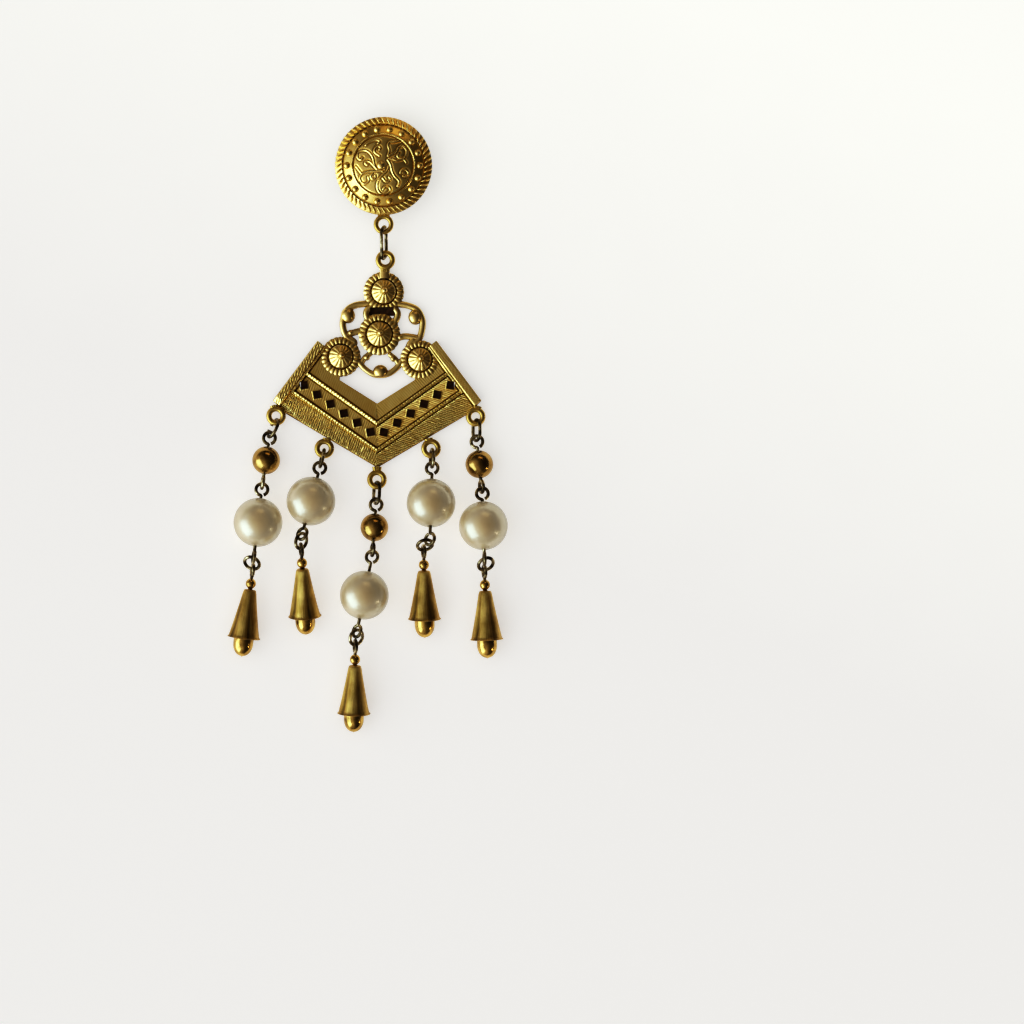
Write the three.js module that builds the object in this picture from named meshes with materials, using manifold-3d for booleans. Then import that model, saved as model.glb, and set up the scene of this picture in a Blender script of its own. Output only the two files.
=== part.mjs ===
// Chandelier earring, lying face up: a round stud disc, an oval link, a pierced chevron
// plate with a crest of four rosettes, and five strands of beads, pearls and fluted cones.
// Millimetres. X runs to the right, Y from the cones towards the disc, Z up from the surface.
import * as THREE from "three";
import { mergeVertices } from "three/addons/utils/BufferGeometryUtils.js";
import Module from "manifold-3d";

const wasm = await Module();
wasm.setup();

// Wires, rings and the gaps between pieces
const wireRadius = 0.28;
const ringWidth = 3.1;
const ringSides = 14;
const loopSides = 10;
const wireSides = 5;
const pinLoopWidth = 2.5;
const linkClearance = 0.2;
const boreClearance = 0.16;
const seatGap = 0.3;
const weldDistance = 0.005;
const flatDistance = 0.002;
const swapPasses = 6;

// Eyelets cast on the plate
const eyeletWidth = 3.2;
const eyeletHole = 1.72;
const eyeletReach = 1.7;
const eyeletHeight = 1.38;
const eyeletSides = 10;
const neckWidth = 1.3;

// Chevron plate, measured from the point of its inner V
const armSpan = 14.9;
const armRise = 8.8;
const plateDepth = 10.5;
const barSpan = 17.1;
const barFoot = 0.5;
const barTopSpan = 9.75;
const barTop = 10.3;
const barWidth = 1.25;
const barStep = 0.08;
const mouthSpan = 6.2;
const mouthRise = 3.9;
const edgeHeight = 1.35;
const crownHeight = 1.85;
const fieldHeight = 1.45;
const ridgeHeight = 2.1;
const ridgeWidth = 0.55;
const upperRidgeDrop = 2.95;
const lowerRidgeDrop = 7.95;
const upperRidgeEnd = [11.7, 5.35];
const lowerRidgeEnd = [14.2, 1.95];
const diamondSize = 1.25;
const diamondsPerArm = 6;
const diamondStart = 0.085;
const diamondEnd = 0.93;
const innerEyeletShare = 0.56;
const eyeletLean = 0.26;

// Crest of rosettes, turned a little on the plate as it was soldered
const crestTurn = -2.8;
const rosetteRadius = 3.3;
const rosetteHeight = 2.9;
const rosetteRidges = 10;
const topRosetteAt = 18.35;
const middleRosetteAt = 11.55;
const lowerRosetteAt = [6.5, 7.5];
const slotSize = [3.9, 1.15];
const slotAt = 15.15;
const scrollRadius = 0.46;
const scrollHeight = 0.75;
const bulbRadius = 1.1;
const crestEyeletAt = 23.5;
const crestEyeletHeight = 1.75;
const crestNeckWidth = 2.0;

// Stud disc and its oval link
const discRadius = 7.95;
const discEdge = 1.0;
const ropeWidth = 1.25;
const ropeHeight = 1.55;
const ropeRibs = 46;
const discSides = 26;
const dotRing = 6.0;
const dotRadius = 0.45;
const dotCount = 18;
const circletRadius = 5.1;
const circletWire = 0.24;
const domeHeight = 2.0;
const bossRadius = 0.6;
const tendrilCount = 6;
const tendrilWire = 0.2;
const discLoopWidth = 3.2;
const discLoopReach = 1.6;
const ovalLinkLength = 6.2;
const ovalLinkWidth = 2.3;
const ovalLinkSlack = 0.3;
const ovalLinkRoll = 66;

// Ear clip behind the disc, closed
const clipWidth = 5;
const clipLength = 10.5;
const clipDepth = 3.1;
const clipSheet = 0.7;

// Beads, pearls and cones
const pearlDiameter = 8;
const beadDiameter = 4.6;
const pearlSides = 12;
const beadSides = 12;
const coneLength = 8;
const coneTopWidth = 2.1;
const coneHemWidth = 5.5;
const coneWall = 0.5;
const coneHollow = 2.6;
const coneFlutes = 6;
const fluteDepth = 0.16;
const neckBallDiameter = 1.7;
const tipWidth = 3.3;
const tipReach = 3.1;
const tipSeat = 1.2;
const coneNeckLength = 2.2;

// Strands. Headings are degrees from straight down in plan, positive to the right; slopes
// are degrees up from the surface; rolls turn a loop about its strand, and 0 lies it flat;
// necks are the bare wire between a ball and the loops before and after it.
const strands = [
  {
    name: "outer_left", ringLength: 3.7, ringHeading: -24, ringSlope: 8, ringRoll: 64,
    bead: { heading: -8, necks: [0.15, 0.15], rolls: [5, 80] },
    pearl: { heading: -6, necks: [0.25, 0.5], rolls: [0, 78] },
    lowerHeading: -22, lowerRoll: 2, coneHeading: -7.5,
  },
  {
    name: "inner_left", ringLength: 3.6, ringHeading: -8, ringSlope: 38, ringRoll: 80,
    pearl: { heading: -14, necks: [0.6, 0.5], rolls: [4, 40] },
    lowerHeading: 36, lowerRoll: -30, coneHeading: 2.5,
  },
  {
    name: "centre", ringLength: 4.1, ringHeading: -2, ringSlope: 8, ringRoll: 66,
    bead: { heading: -4, necks: [0.2, 0.15], rolls: [5, 75] },
    pearl: { heading: -11, necks: [1.2, 0.8], rolls: [15, 50] },
    lowerHeading: 56, lowerRoll: -8, coneHeading: -1.5,
  },
  {
    name: "inner_right", ringLength: 3.6, ringHeading: 8, ringSlope: 38, ringRoll: 74,
    pearl: { heading: -1.5, necks: [0.7, 0.9], rolls: [10, 40] },
    lowerHeading: -24, lowerRoll: -30, coneHeading: 0.5,
  },
  {
    name: "outer_right", ringLength: 4.0, ringHeading: 1, ringSlope: 8, ringRoll: 62,
    bead: { heading: 6, necks: [0.2, 0.15], rolls: [8, 70] },
    pearl: { heading: 2, necks: [0.1, 0.2], rolls: [-5, 85] },
    lowerHeading: 44, lowerRoll: 10, coneHeading: 2,
  },
];
const lowerRingSlope = -42;
const tipLoopRoll = 76;

const up = new THREE.Vector3(0, 0, 1);
const rad = THREE.MathUtils.degToRad;

// Booleans on closed meshes

function solid(geometry) {
  const bare = geometry.index ? geometry.toNonIndexed() : geometry.clone();
  bare.deleteAttribute("normal");
  bare.deleteAttribute("uv");
  const merged = mergeVertices(bare, 1e-4);
  const mesh = new wasm.Mesh({
    numProp: 3,
    vertProperties: merged.attributes.position.array,
    triVerts: new Uint32Array(merged.index.array),
  });
  return new wasm.Manifold(mesh);
}

function joined(parts) {
  return parts.reduce((body, part) => body.add(part));
}

// The body's surface without slivers: corners closer than the weld distance are merged, and
// a face flatter than the flat distance is swapped over its longest edge.
function geometryOf(body) {
  const mesh = body.getMesh();
  const corners = [];
  const cornerOf = [];
  for (let i = 0; i < mesh.numVert; i += 1) {
    const first = mesh.numProp * i;
    const place = new THREE.Vector3(...mesh.vertProperties.slice(first, first + 3));
    let corner = corners.findIndex((other) => other.distanceTo(place) < weldDistance);
    if (corner < 0) corner = corners.push(place) - 1;
    cornerOf.push(corner);
  }
  const faces = [];
  for (let i = 0; i < mesh.triVerts.length; i += 3) {
    const face = [0, 1, 2].map((k) => cornerOf[mesh.triVerts[i + k]]);
    if (new Set(face).size === 3) faces.push(face);
  }
  swapFlatFaces(faces, corners);
  const geometry = new THREE.BufferGeometry();
  const places = corners.flatMap((corner) => corner.toArray());
  geometry.setAttribute("position", new THREE.Float32BufferAttribute(places, 3));
  geometry.setIndex(faces.flat());
  geometry.computeVertexNormals();
  return geometry;
}

function swapFlatFaces(faces, corners) {
  const holder = new Map();
  const key = (from, to) => from * corners.length + to;
  const hold = (n) => faces[n].forEach((from, k) => holder.set(key(from, faces[n][(k + 1) % 3]), n));
  faces.forEach((face, n) => hold(n));
  for (let pass = 0; pass < swapPasses; pass += 1) {
    for (let n = 0; n < faces.length; n += 1) {
      const face = faces[n];
      const sides = face.map((from, k) => corners[from].distanceTo(corners[face[(k + 1) % 3]]));
      const longest = sides.indexOf(Math.max(...sides));
      const [a, b, c] = [0, 1, 2].map((k) => face[(longest + k) % 3]);
      const area = new THREE.Triangle(corners[a], corners[b], corners[c]).getArea();
      if ((2 * area) / sides[longest] > flatDistance) continue;
      const other = holder.get(key(b, a));
      const d = faces[other].find((corner) => corner !== a && corner !== b);
      if (holder.has(key(c, d)) || holder.has(key(d, c))) continue;
      holder.delete(key(a, b));
      holder.delete(key(b, a));
      faces[n] = [c, a, d];
      faces[other] = [d, b, c];
      hold(n);
      hold(other);
    }
  }
}

// Basic shapes

// A loop of wire in the XY plane, two half rings joined by straight sides along X.
function wireLoop(length, width, radius, sides = ringSides) {
  const loop = new THREE.TorusGeometry(width / 2 - radius, radius, wireSides, sides);
  const place = loop.attributes.position;
  for (let n = 0; n < place.count; n += 1) {
    place.setX(n, place.getX(n) + (Math.sign(place.getX(n)) * (length - width)) / 2);
  }
  return loop;
}

// A round rod along X.
function rod(from, to, radius, sides = wireSides) {
  const shape = new THREE.CylinderGeometry(radius, radius, to - from, sides);
  return shape.rotateZ(Math.PI / 2).translate((from + to) / 2, 0, 0);
}

// A body turned about X from [along, radius] points, which start and end on the axis or
// close on themselves. swell(angle, index) gives each point's share of its radius.
function turned(profile, sides, swell = () => 1) {
  const points = profile.map(([along, radius]) => new THREE.Vector2(radius, along));
  const shape = new THREE.LatheGeometry(points, sides);
  const place = shape.attributes.position;
  for (let n = 0; n < place.count; n += 1) {
    const angle = (Math.floor(n / points.length) * 2 * Math.PI) / sides;
    const share = swell(angle, n % points.length);
    place.setXYZ(n, place.getX(n) * share, place.getY(n), place.getZ(n) * share);
  }
  return shape.rotateZ(-Math.PI / 2);
}

// The same about Z, from [radius, height] points.
function turnedUp(profile, sides, swell) {
  const points = profile.map(([radius, height]) => [height, radius]);
  return turned(points, sides, swell).rotateY(-Math.PI / 2);
}

// A round wire along a path of [x, y, z] points.
function wireAlong(points, radius, steps, sides = wireSides) {
  const path = new THREE.CatmullRomCurve3(points.map((p) => new THREE.Vector3(...p)));
  const section = new THREE.Shape();
  for (let i = 0; i < sides; i += 1) {
    const angle = (i * 2 * Math.PI) / sides;
    const spot = [radius * Math.cos(angle), radius * Math.sin(angle)];
    if (i === 0) section.moveTo(...spot);
    else section.lineTo(...spot);
  }
  section.closePath();
  return new THREE.ExtrudeGeometry(section, { steps, extrudePath: path, bevelEnabled: false });
}

// A slab from the surface up to a top face given by [x, y, height] corners, counterclockwise.
function slab(corners) {
  const flat = corners.map(([x, y]) => new THREE.Vector2(x, y));
  const faces = THREE.ShapeUtils.triangulateShape(flat, []);
  const count = corners.length;
  const places = [...corners, ...corners.map(([x, y]) => [x, y, 0])].flat();
  const index = [];
  for (const [a, b, c] of faces) {
    index.push(a, b, c);
    index.push(count + c, count + b, count + a);
  }
  for (let i = 0; i < count; i += 1) {
    const next = (i + 1) % count;
    index.push(i, count + i, count + next);
    index.push(i, count + next, next);
  }
  const shape = new THREE.BufferGeometry();
  shape.setAttribute("position", new THREE.Float32BufferAttribute(places, 3));
  shape.setIndex(index);
  return shape;
}

// An upright prism over [x, y] corners, counterclockwise.
function prism(corners, bottom, top) {
  const shape = new THREE.Shape(corners.map(([x, y]) => new THREE.Vector2(x, y)));
  const settings = { depth: top - bottom, bevelEnabled: false };
  return new THREE.ExtrudeGeometry(shape, settings).translate(0, 0, bottom);
}

function mirrored(corners) {
  return corners.map(([x, ...rest]) => [-x, ...rest]).reverse();
}

function bothSides(corners) {
  return [solid(slab(corners)), solid(slab(mirrored(corners)))];
}

// The strip of a given width on the left of the line from one corner to the next.
function strip(from, to, width) {
  const along = new THREE.Vector2(to[0] - from[0], to[1] - from[1]).normalize();
  const [dx, dy] = [-along.y * width, along.x * width];
  return [from, to, [to[0] + dx, to[1] + dy], [from[0] + dx, from[1] + dy]];
}

// The same, cut off upright at both ends, so that it meets its mirror image on the axis.
function uprightStrip(from, to, width) {
  const rise = (width * Math.hypot(to[0] - from[0], to[1] - from[1])) / (to[0] - from[0]);
  return [from, to, [to[0], to[1] + rise], [from[0], from[1] + rise]];
}

function raised(corners, height) {
  return corners.map(([x, y]) => [x, y, height]);
}

// Chevron plate

const eyeletWire = (eyeletWidth - eyeletHole) / 4;
const eyeletMiddle = (eyeletWidth + eyeletHole) / 4;
const lowerCorner = [armSpan, armRise - plateDepth];
const barCorner = [barSpan, barFoot];
const barHead = [barTopSpan, barTop];
const barAlong = new THREE.Vector2(barSpan - barTopSpan, barFoot - barTop).normalize();
const barHeadInner = [barTopSpan + barAlong.y * barWidth, barTop - barAlong.x * barWidth];

function alongEdge(share) {
  return [share * armSpan, share * armRise - plateDepth];
}

// A flat ring on a neck. It stands off an edge point in an outward direction.
function eyeletPlace([x, y], [dx, dy], reach = eyeletReach) {
  const size = Math.hypot(dx, dy);
  return { x: x + (dx / size) * reach, y: y + (dy / size) * reach, dx: dx / size, dy: dy / size };
}

function eyelet(place, width, height) {
  const ring = wireLoop(eyeletWidth, eyeletWidth, eyeletWire, eyeletSides);
  const start = -eyeletWidth / 2 - 0.7;
  const end = -(eyeletWidth / 2 - eyeletWire * 1.1);
  const neck = prism(
    [[start, -width / 2], [end, -width / 2], [end, width / 2], [start, width / 2]],
    -eyeletWire * 0.9, eyeletWire * 0.9,
  );
  const turn = Math.atan2(place.dy, place.dx);
  return [ring, neck].map((g) => solid(g.rotateZ(turn).translate(place.x, place.y, height)));
}

const eyelets = {
  outer_right: eyeletPlace([armSpan + 1.1, armRise - plateDepth + 1.1], [0.16, -1]),
  inner_right: eyeletPlace(alongEdge(innerEyeletShare), [eyeletLean, -1]),
  centre: eyeletPlace([0, -plateDepth], [0, -1], eyeletReach + 0.3),
  inner_left: eyeletPlace(mirrored([alongEdge(innerEyeletShare)])[0], [-eyeletLean, -1]),
  outer_left: eyeletPlace([-armSpan - 1.1, armRise - plateDepth + 1.1], [-0.16, -1]),
};

function plateBody() {
  const bottomPoint = [0, -plateDepth];
  const lowerRidge = [0, -lowerRidgeDrop];
  const upperRidge = [0, -upperRidgeDrop];
  const mouth = [mouthSpan, mouthRise];
  const behindRosette = lowerRosetteAt.map((size) => size * 0.92);
  const low = (corner) => [...corner, edgeHeight];
  const high = (corner) => [...corner, crownHeight];
  const lowerBorder = [
    low(bottomPoint), low(lowerCorner), high(lowerRidgeEnd), high(lowerRidge),
  ];
  const bar = [
    low(lowerCorner), low(barCorner), low(barHead), low(barHeadInner),
    high(upperRidgeEnd), high(lowerRidgeEnd),
  ];
  const field = raised([lowerRidge, lowerRidgeEnd, upperRidgeEnd, upperRidge], fieldHeight);
  const upperBorder = [
    high(upperRidge), high(upperRidgeEnd), low(barHeadInner),
    low(behindRosette), low(mouth), low([0, 0]),
  ];
  const ridges = [
    raised(uprightStrip(lowerRidge, lowerRidgeEnd, ridgeWidth), ridgeHeight),
    raised(uprightStrip(upperRidgeEnd, upperRidge, ridgeWidth), ridgeHeight),
    raised(strip(lowerRidgeEnd, upperRidgeEnd, ridgeWidth), ridgeHeight - barStep),
    raised(strip(barCorner, barHead, barWidth), ridgeHeight + barStep),
  ];
  return joined([lowerBorder, bar, field, upperBorder, ...ridges].flatMap(bothSides));
}

// Diamonds cut through the field, evenly spaced along each arm between the ridges.
function diamondCutters() {
  const start = [0, -(upperRidgeDrop + lowerRidgeDrop) / 2];
  const end = [0, 1].map((k) => (upperRidgeEnd[k] + lowerRidgeEnd[k]) / 2);
  const slope = Math.atan2(end[1] - start[1], end[0] - start[0]);
  const cutters = [];
  for (const side of [-1, 1]) {
    for (let i = 0; i < diamondsPerArm; i += 1) {
      const share = diamondStart + ((diamondEnd - diamondStart) * i) / (diamondsPerArm - 1);
      const [x, y] = [0, 1].map((k) => start[k] + (end[k] - start[k]) * share);
      const cutter = new THREE.BoxGeometry(diamondSize, diamondSize, 3 * ridgeHeight);
      cutter.rotateZ(side * (slope + Math.PI / 4)).translate(side * x, y, ridgeHeight);
      cutters.push(solid(cutter));
    }
  }
  return cutters;
}

// A rosette: a ribbed outer ring, a groove, and a gadrooned dome with a knob.
function rosette(x, y) {
  const r = rosetteRadius;
  const h = rosetteHeight;
  const profile = [
    [0, 0], [r, 0], [r, 0.4 * h], [0.88 * r, 0.62 * h], [0.6 * r, 0.5 * h],
    [0.52 * r, 0.68 * h], [0.16 * r, 0.92 * h], [0, 1.03 * h],
  ];
  const ribbed = [2, 3, 5];
  const sides = 2 * rosetteRidges;
  const swell = (angle, index) =>
    ribbed.includes(index) ? 1 - 0.05 * (1 - Math.cos(rosetteRidges * angle)) : 1;
  return turnedUp(profile, sides, swell).translate(x, y, 0);
}

function bulb(x, y, stretch = 1) {
  const ball = new THREE.SphereGeometry(bulbRadius, 8, 5);
  return ball.scale(1, stretch, 0.8).translate(x, y, scrollHeight + 0.15);
}

function crestBody() {
  const [sideX, sideY] = lowerRosetteAt;
  const z = scrollHeight;
  const r = rosetteRadius;
  const gap = sideX - r;
  const parts = [
    rosette(0, topRosetteAt), rosette(0, middleRosetteAt),
    rosette(sideX, sideY), rosette(-sideX, sideY),
    bulb(0, sideY - 0.65 * r, 1.15),
  ];
  for (const side of [-1, 1]) {
    const route = (points) => points.map(([x, y]) => [side * x, y, z]);
    parts.push(bulb(side * 1.7 * r, topRosetteAt - 1.2 * r));
    parts.push(wireAlong(route([
      [0.75 * r, topRosetteAt - 0.62 * r], [1.28 * r, topRosetteAt - 0.72 * r],
      [1.68 * r, topRosetteAt - 1.12 * r], [1.88 * r, middleRosetteAt + 0.45 * r],
      [1.85 * r, middleRosetteAt], [1.7 * r, sideY + 0.9 * r],
    ]), scrollRadius, 7));
    parts.push(wireAlong(route([
      [0.8 * r, middleRosetteAt + 0.2 * r], [1.3 * r, middleRosetteAt + 0.12 * r],
      [1.62 * r, middleRosetteAt - 0.12 * r], [1.75 * r, sideY + 0.75 * r],
    ]), scrollRadius, 4));
    parts.push(wireAlong(route([
      [0.7 * r, topRosetteAt - 0.75 * r], [0.78 * r, slotAt - 0.1],
      [0.62 * r, middleRosetteAt + 0.75 * r],
    ]), 1.15 * scrollRadius, 3));
    parts.push(wireAlong(route([
      [gap + 0.15 * r, sideY - 0.1 * r], [0.72 * gap + 0.1, sideY - 0.5 * r],
      [0.3 * gap, sideY - 0.72 * r], [0, sideY - 0.68 * r],
    ]), scrollRadius, 4));
    parts.push(wireAlong(route([
      [0.4 * r, middleRosetteAt - 0.85 * r], [0.68 * r, sideY + 0.06 * r],
      [gap + 0.2 * r, sideY],
    ]), scrollRadius, 3));
  }
  const neckHalf = crestNeckWidth / 2;
  const neckEnd = crestEyeletAt - eyeletWidth / 2 + eyeletWire;
  const neck = prism([
    [-neckHalf, topRosetteAt + 0.8 * r], [neckHalf, topRosetteAt + 0.8 * r],
    [neckHalf, neckEnd], [-neckHalf, neckEnd],
  ], 0.4, crestEyeletHeight + eyeletWire * 0.7);
  parts.push(neck);
  const ring = wireLoop(eyeletWidth, eyeletWidth, eyeletWire, eyeletSides);
  parts.push(ring.translate(0, crestEyeletAt, crestEyeletHeight));
  const slot = new THREE.BoxGeometry(...slotSize, 4 * rosetteHeight).translate(0, slotAt, 0);
  const body = joined(parts.map(solid)).subtract(solid(slot));
  return solid(geometryOf(body).rotateZ(rad(crestTurn)));
}

function chevronPlate() {
  const pierced = joined([plateBody(), crestBody()]);
  const rings = Object.values(eyelets).flatMap((place) => eyelet(place, neckWidth, eyeletHeight));
  const whole = joined([pierced, ...rings]);
  return geometryOf(whole.subtract(joined(diamondCutters())));
}

// Stud disc, with its back at height 0 and its centre on the axis

function ropeRim() {
  const inner = discRadius - ropeWidth;
  const lift = ropeHeight - discEdge;
  const profile = [
    [inner, 0.1], [inner + 0.35 * ropeWidth, ropeHeight],
    [discRadius, discEdge - 0.2], [discRadius, 0.1],
  ];
  const lean = [0, 0.2, 1, 0];
  const stations = 2 * ropeRibs;
  const places = [];
  const index = [];
  for (let i = 0; i < stations; i += 1) {
    const angle = (i * 2 * Math.PI) / stations;
    const crest = i % 2 === 0 ? 1 : 0;
    profile.forEach(([radius, height], j) => {
      const onTop = j > 0 && j < 3;
      const turn = angle + (onTop ? (lean[j] * 2 * Math.PI) / ropeRibs : 0);
      const down = onTop && crest === 0 ? 0.35 * lift : 0;
      places.push(radius * Math.cos(turn), radius * Math.sin(turn), height - down);
    });
  }
  const count = profile.length;
  for (let i = 0; i < stations; i += 1) {
    const next = (i + 1) % stations;
    for (let j = 0; j < count; j += 1) {
      const after = (j + 1) % count;
      const [a, b] = [i * count + j, i * count + after];
      const [c, d] = [next * count + after, next * count + j];
      index.push(a, b, c, a, c, d);
    }
  }
  const shape = new THREE.BufferGeometry();
  shape.setAttribute("position", new THREE.Float32BufferAttribute(places, 3));
  shape.setIndex(index);
  return shape;
}

function domeAt(radius) {
  const share = radius / circletRadius;
  return discEdge + 0.35 + (domeHeight - discEdge - 0.35) * (1 - share * share);
}

function studDisc() {
  const inner = discRadius - 0.5 * ropeWidth;
  const face = [
    [0, 0], [inner, 0], [inner, discEdge], [discRadius - ropeWidth - 0.1, discEdge],
    [circletRadius + circletWire, discEdge + 0.3],
    [circletRadius, domeAt(circletRadius) + circletWire],
    [circletRadius - circletWire, domeAt(circletRadius - circletWire)],
    [0.66 * circletRadius, domeAt(0.66 * circletRadius)],
    [0.33 * circletRadius, domeAt(0.33 * circletRadius)], [0, domeHeight],
  ];
  const parts = [turnedUp(face, discSides), ropeRim()];
  for (let i = 0; i < dotCount; i += 1) {
    const angle = ((i + 0.5) * 2 * Math.PI) / dotCount;
    const dot = new THREE.SphereGeometry(dotRadius, 6, 3);
    dot.translate(dotRing * Math.cos(angle), dotRing * Math.sin(angle), discEdge + 0.12);
    parts.push(dot);
  }
  parts.push(new THREE.SphereGeometry(bossRadius, 8, 5).translate(0, 0, domeHeight));
  for (let i = 0; i < tendrilCount; i += 1) {
    const start = (i * 2 * Math.PI) / tendrilCount;
    const spot = (share, turn) => {
      const angle = start + rad(turn);
      const radius = share * circletRadius;
      return [radius * Math.cos(angle), radius * Math.sin(angle), domeAt(radius)];
    };
    const stem = [
      spot(0.08, 0), spot(0.35, 28), spot(0.62, 38), spot(0.82, 58), spot(0.8, 84), spot(0.63, 82),
      spot(0.62, 66),
    ];
    parts.push(wireAlong(stem, tendrilWire, 7, 3));
  }
  const loop = wireLoop(discLoopWidth, discLoopWidth, wireRadius);
  parts.push(loop.translate(0, -discRadius - discLoopReach, wireRadius));
  const tabTop = -discRadius + ropeWidth;
  const tabEnd = -discRadius - discLoopReach + discLoopWidth / 2 - 1.2 * wireRadius;
  const tab = [[-0.8, tabEnd], [0.8, tabEnd], [1.2, tabTop], [-1.2, tabTop]];
  parts.push(prism(tab, 0.02, 1.8 * wireRadius));
  return geometryOf(joined(parts.map(solid)));
}

// Ear clip, closed: a bent strip, drawn from the side and as wide as the clip

function earClip() {
  const outer = clipDepth / 2;
  const inner = outer - clipSheet;
  const bend = clipLength / 2 - outer;
  const side = new THREE.Shape();
  side.moveTo(-clipLength / 2, 0);
  side.lineTo(bend, 0);
  side.absarc(bend, outer, outer, -Math.PI / 2, Math.PI / 2, false);
  side.lineTo(-clipLength / 2 + 2, clipDepth);
  side.lineTo(-clipLength / 2 + 2, clipDepth - clipSheet);
  side.lineTo(bend, clipDepth - clipSheet);
  side.absarc(bend, outer, inner, Math.PI / 2, -Math.PI / 2, true);
  side.lineTo(-clipLength / 2, clipSheet);
  side.closePath();
  const settings = { depth: clipWidth, bevelEnabled: false, curveSegments: 8 };
  const strap = new THREE.ExtrudeGeometry(side, settings).translate(0, 0, -clipWidth / 2);
  return strap.rotateX(Math.PI / 2).rotateZ(Math.PI / 2);
}

// Beads, pearls, pins and cones, each drawn along X

const loopMiddle = pinLoopWidth / 2 - wireRadius;

function drilledBall(diameter, sides) {
  const radius = diameter / 2;
  const bore = wireRadius + boreClearance;
  const edge = Math.asin(bore / radius);
  const steps = sides / 2;
  const profile = [];
  for (let i = 0; i <= steps; i += 1) {
    const angle = edge + ((Math.PI - 2 * edge) * i) / steps;
    profile.push([-radius * Math.cos(angle), radius * Math.sin(angle)]);
  }
  profile.push(profile[0]);
  return turned(profile, sides);
}

function pinLoop(roll, place) {
  const loop = wireLoop(pinLoopWidth, pinLoopWidth, wireRadius, loopSides);
  return loop.rotateX(rad(roll)).translate(place, 0, 0);
}

// A wire through a ball with a loop at each end: reach and tail are the loops' distances.
function eyePin(reach, tail, rolls) {
  const loops = [pinLoop(rolls[0], -reach), pinLoop(rolls[1], tail)];
  const shaft = rod(loopMiddle - reach, tail - loopMiddle, wireRadius);
  return geometryOf(joined([...loops, shaft].map(solid)));
}

// The cone's top is at 0 and its hem at the cone's length.
function flutedCone() {
  const bore = wireRadius + boreClearance;
  const hem = coneHemWidth / 2;
  const top = coneTopWidth / 2;
  const swellTo = (share) => top + (hem - top) * share;
  const cavity = tipWidth / 2 + seatGap;
  const profile = [
    [0, bore], [0, 0.8 * top], [0.06 * coneLength, top], [0.25 * coneLength, swellTo(0.14)],
    [0.62 * coneLength, swellTo(0.58)],
    [coneLength, hem], [coneLength, hem - coneWall], [coneLength - coneHollow, cavity],
    [coneLength - coneHollow, bore], [0, bore],
  ];
  const fluted = [0, 0, 0.2, 0.7, 1, 1, 0.8, 0, 0, 0];
  const swell = (angle, index) =>
    1 - (fluteDepth / hem) * fluted[index] * (1 - Math.cos(coneFlutes * angle));
  return turned(profile, 3 * coneFlutes, swell);
}

// Loop, neck ball, shaft and bullet tip in one: the loop's centre is at 0.
function tipPin() {
  const top = coneNeckLength + neckBallDiameter / 2 + boreClearance;
  const tipStart = top + coneLength - coneHollow + seatGap;
  const tipEnd = top + coneLength + tipReach;
  const shoulder = tipEnd - tipWidth / 2;
  const tip = [
    [tipStart, 0], [tipStart, tipWidth / 2], [shoulder - 0.4, tipWidth / 2],
    [shoulder + 0.42 * tipWidth, 0.38 * tipWidth], [tipEnd - 0.1, 0.18 * tipWidth], [tipEnd, 0],
  ];
  const ball = new THREE.SphereGeometry(neckBallDiameter / 2, 10, 5).translate(coneNeckLength, 0, 0);
  const shaft = rod(loopMiddle, tipStart + tipSeat, wireRadius);
  return geometryOf(joined([pinLoop(tipLoopRoll, 0), ball, shaft, turned(tip, 10)].map(solid)));
}

// Placing pieces along a strand

// The unit vector of a heading, degrees from -Y towards +X, and a slope above the surface.
function direction(heading, slope) {
  const level = Math.cos(rad(slope));
  return new THREE.Vector3(
    Math.sin(rad(heading)) * level, -Math.cos(rad(heading)) * level, Math.sin(rad(slope)),
  );
}

// Puts a mesh drawn along X at a place, along a direction, turned about it by roll degrees.
function lay(mesh, place, along, roll = 0) {
  const side = new THREE.Vector3().crossVectors(up, along).normalize();
  const normal = new THREE.Vector3().crossVectors(along, side);
  const turn = new THREE.Matrix4().makeBasis(along, side, normal);
  mesh.quaternion.setFromRotationMatrix(turn);
  mesh.rotateX(rad(roll));
  mesh.position.copy(place);
  return mesh;
}

function slopeOf(rise, run) {
  return THREE.MathUtils.radToDeg(Math.asin(rise / run));
}

// The slope at which a piece reaches a given height at the end of its run, found by halving
// the range. start(direction) gives the spot that the piece hangs from.
function restingSlope(heading, run, height, start) {
  let [low, high] = [-60, 60];
  for (let i = 0; i < 40; i += 1) {
    const slope = (low + high) / 2;
    const along = direction(heading, slope);
    if (start(along).z + run * along.z < height) low = slope;
    else high = slope;
  }
  return low;
}

const finishes = {
  casting: { color: 0xa87c1e, roughness: 0.38, metalness: 1 },
  polished: { color: 0xb98a2c, roughness: 0.12, metalness: 1 },
  satin: { color: 0xb08a34, roughness: 0.45, metalness: 1 },
  wire: { color: 0x5a4622, roughness: 0.35, metalness: 1 },
  pearl: { color: 0xcfc6a6, roughness: 0.15, metalness: 0 },
};

function piece(name, geometry, finish) {
  const mesh = new THREE.Mesh(geometry, new THREE.MeshStandardMaterial(finishes[finish]));
  mesh.name = name;
  return mesh;
}

// How far a loop's centre lies past the wire that it hangs from.
function hang(length, heldWire) {
  return length / 2 - 2 * wireRadius - heldWire - linkClearance;
}

// The spot on a loop's wire that the next piece pulls on: the loop lies along a direction,
// rolled about it, and the spot is the furthest towards the next direction in its plane.
function pulledSpot(centre, along, roll, middle, next) {
  const side = new THREE.Vector3().crossVectors(up, along).normalize();
  const normal = new THREE.Vector3().crossVectors(along, side);
  normal.applyAxisAngle(along, rad(roll));
  const pull = next.clone().projectOnPlane(normal).normalize();
  return centre.clone().addScaledVector(pull, middle);
}

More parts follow.
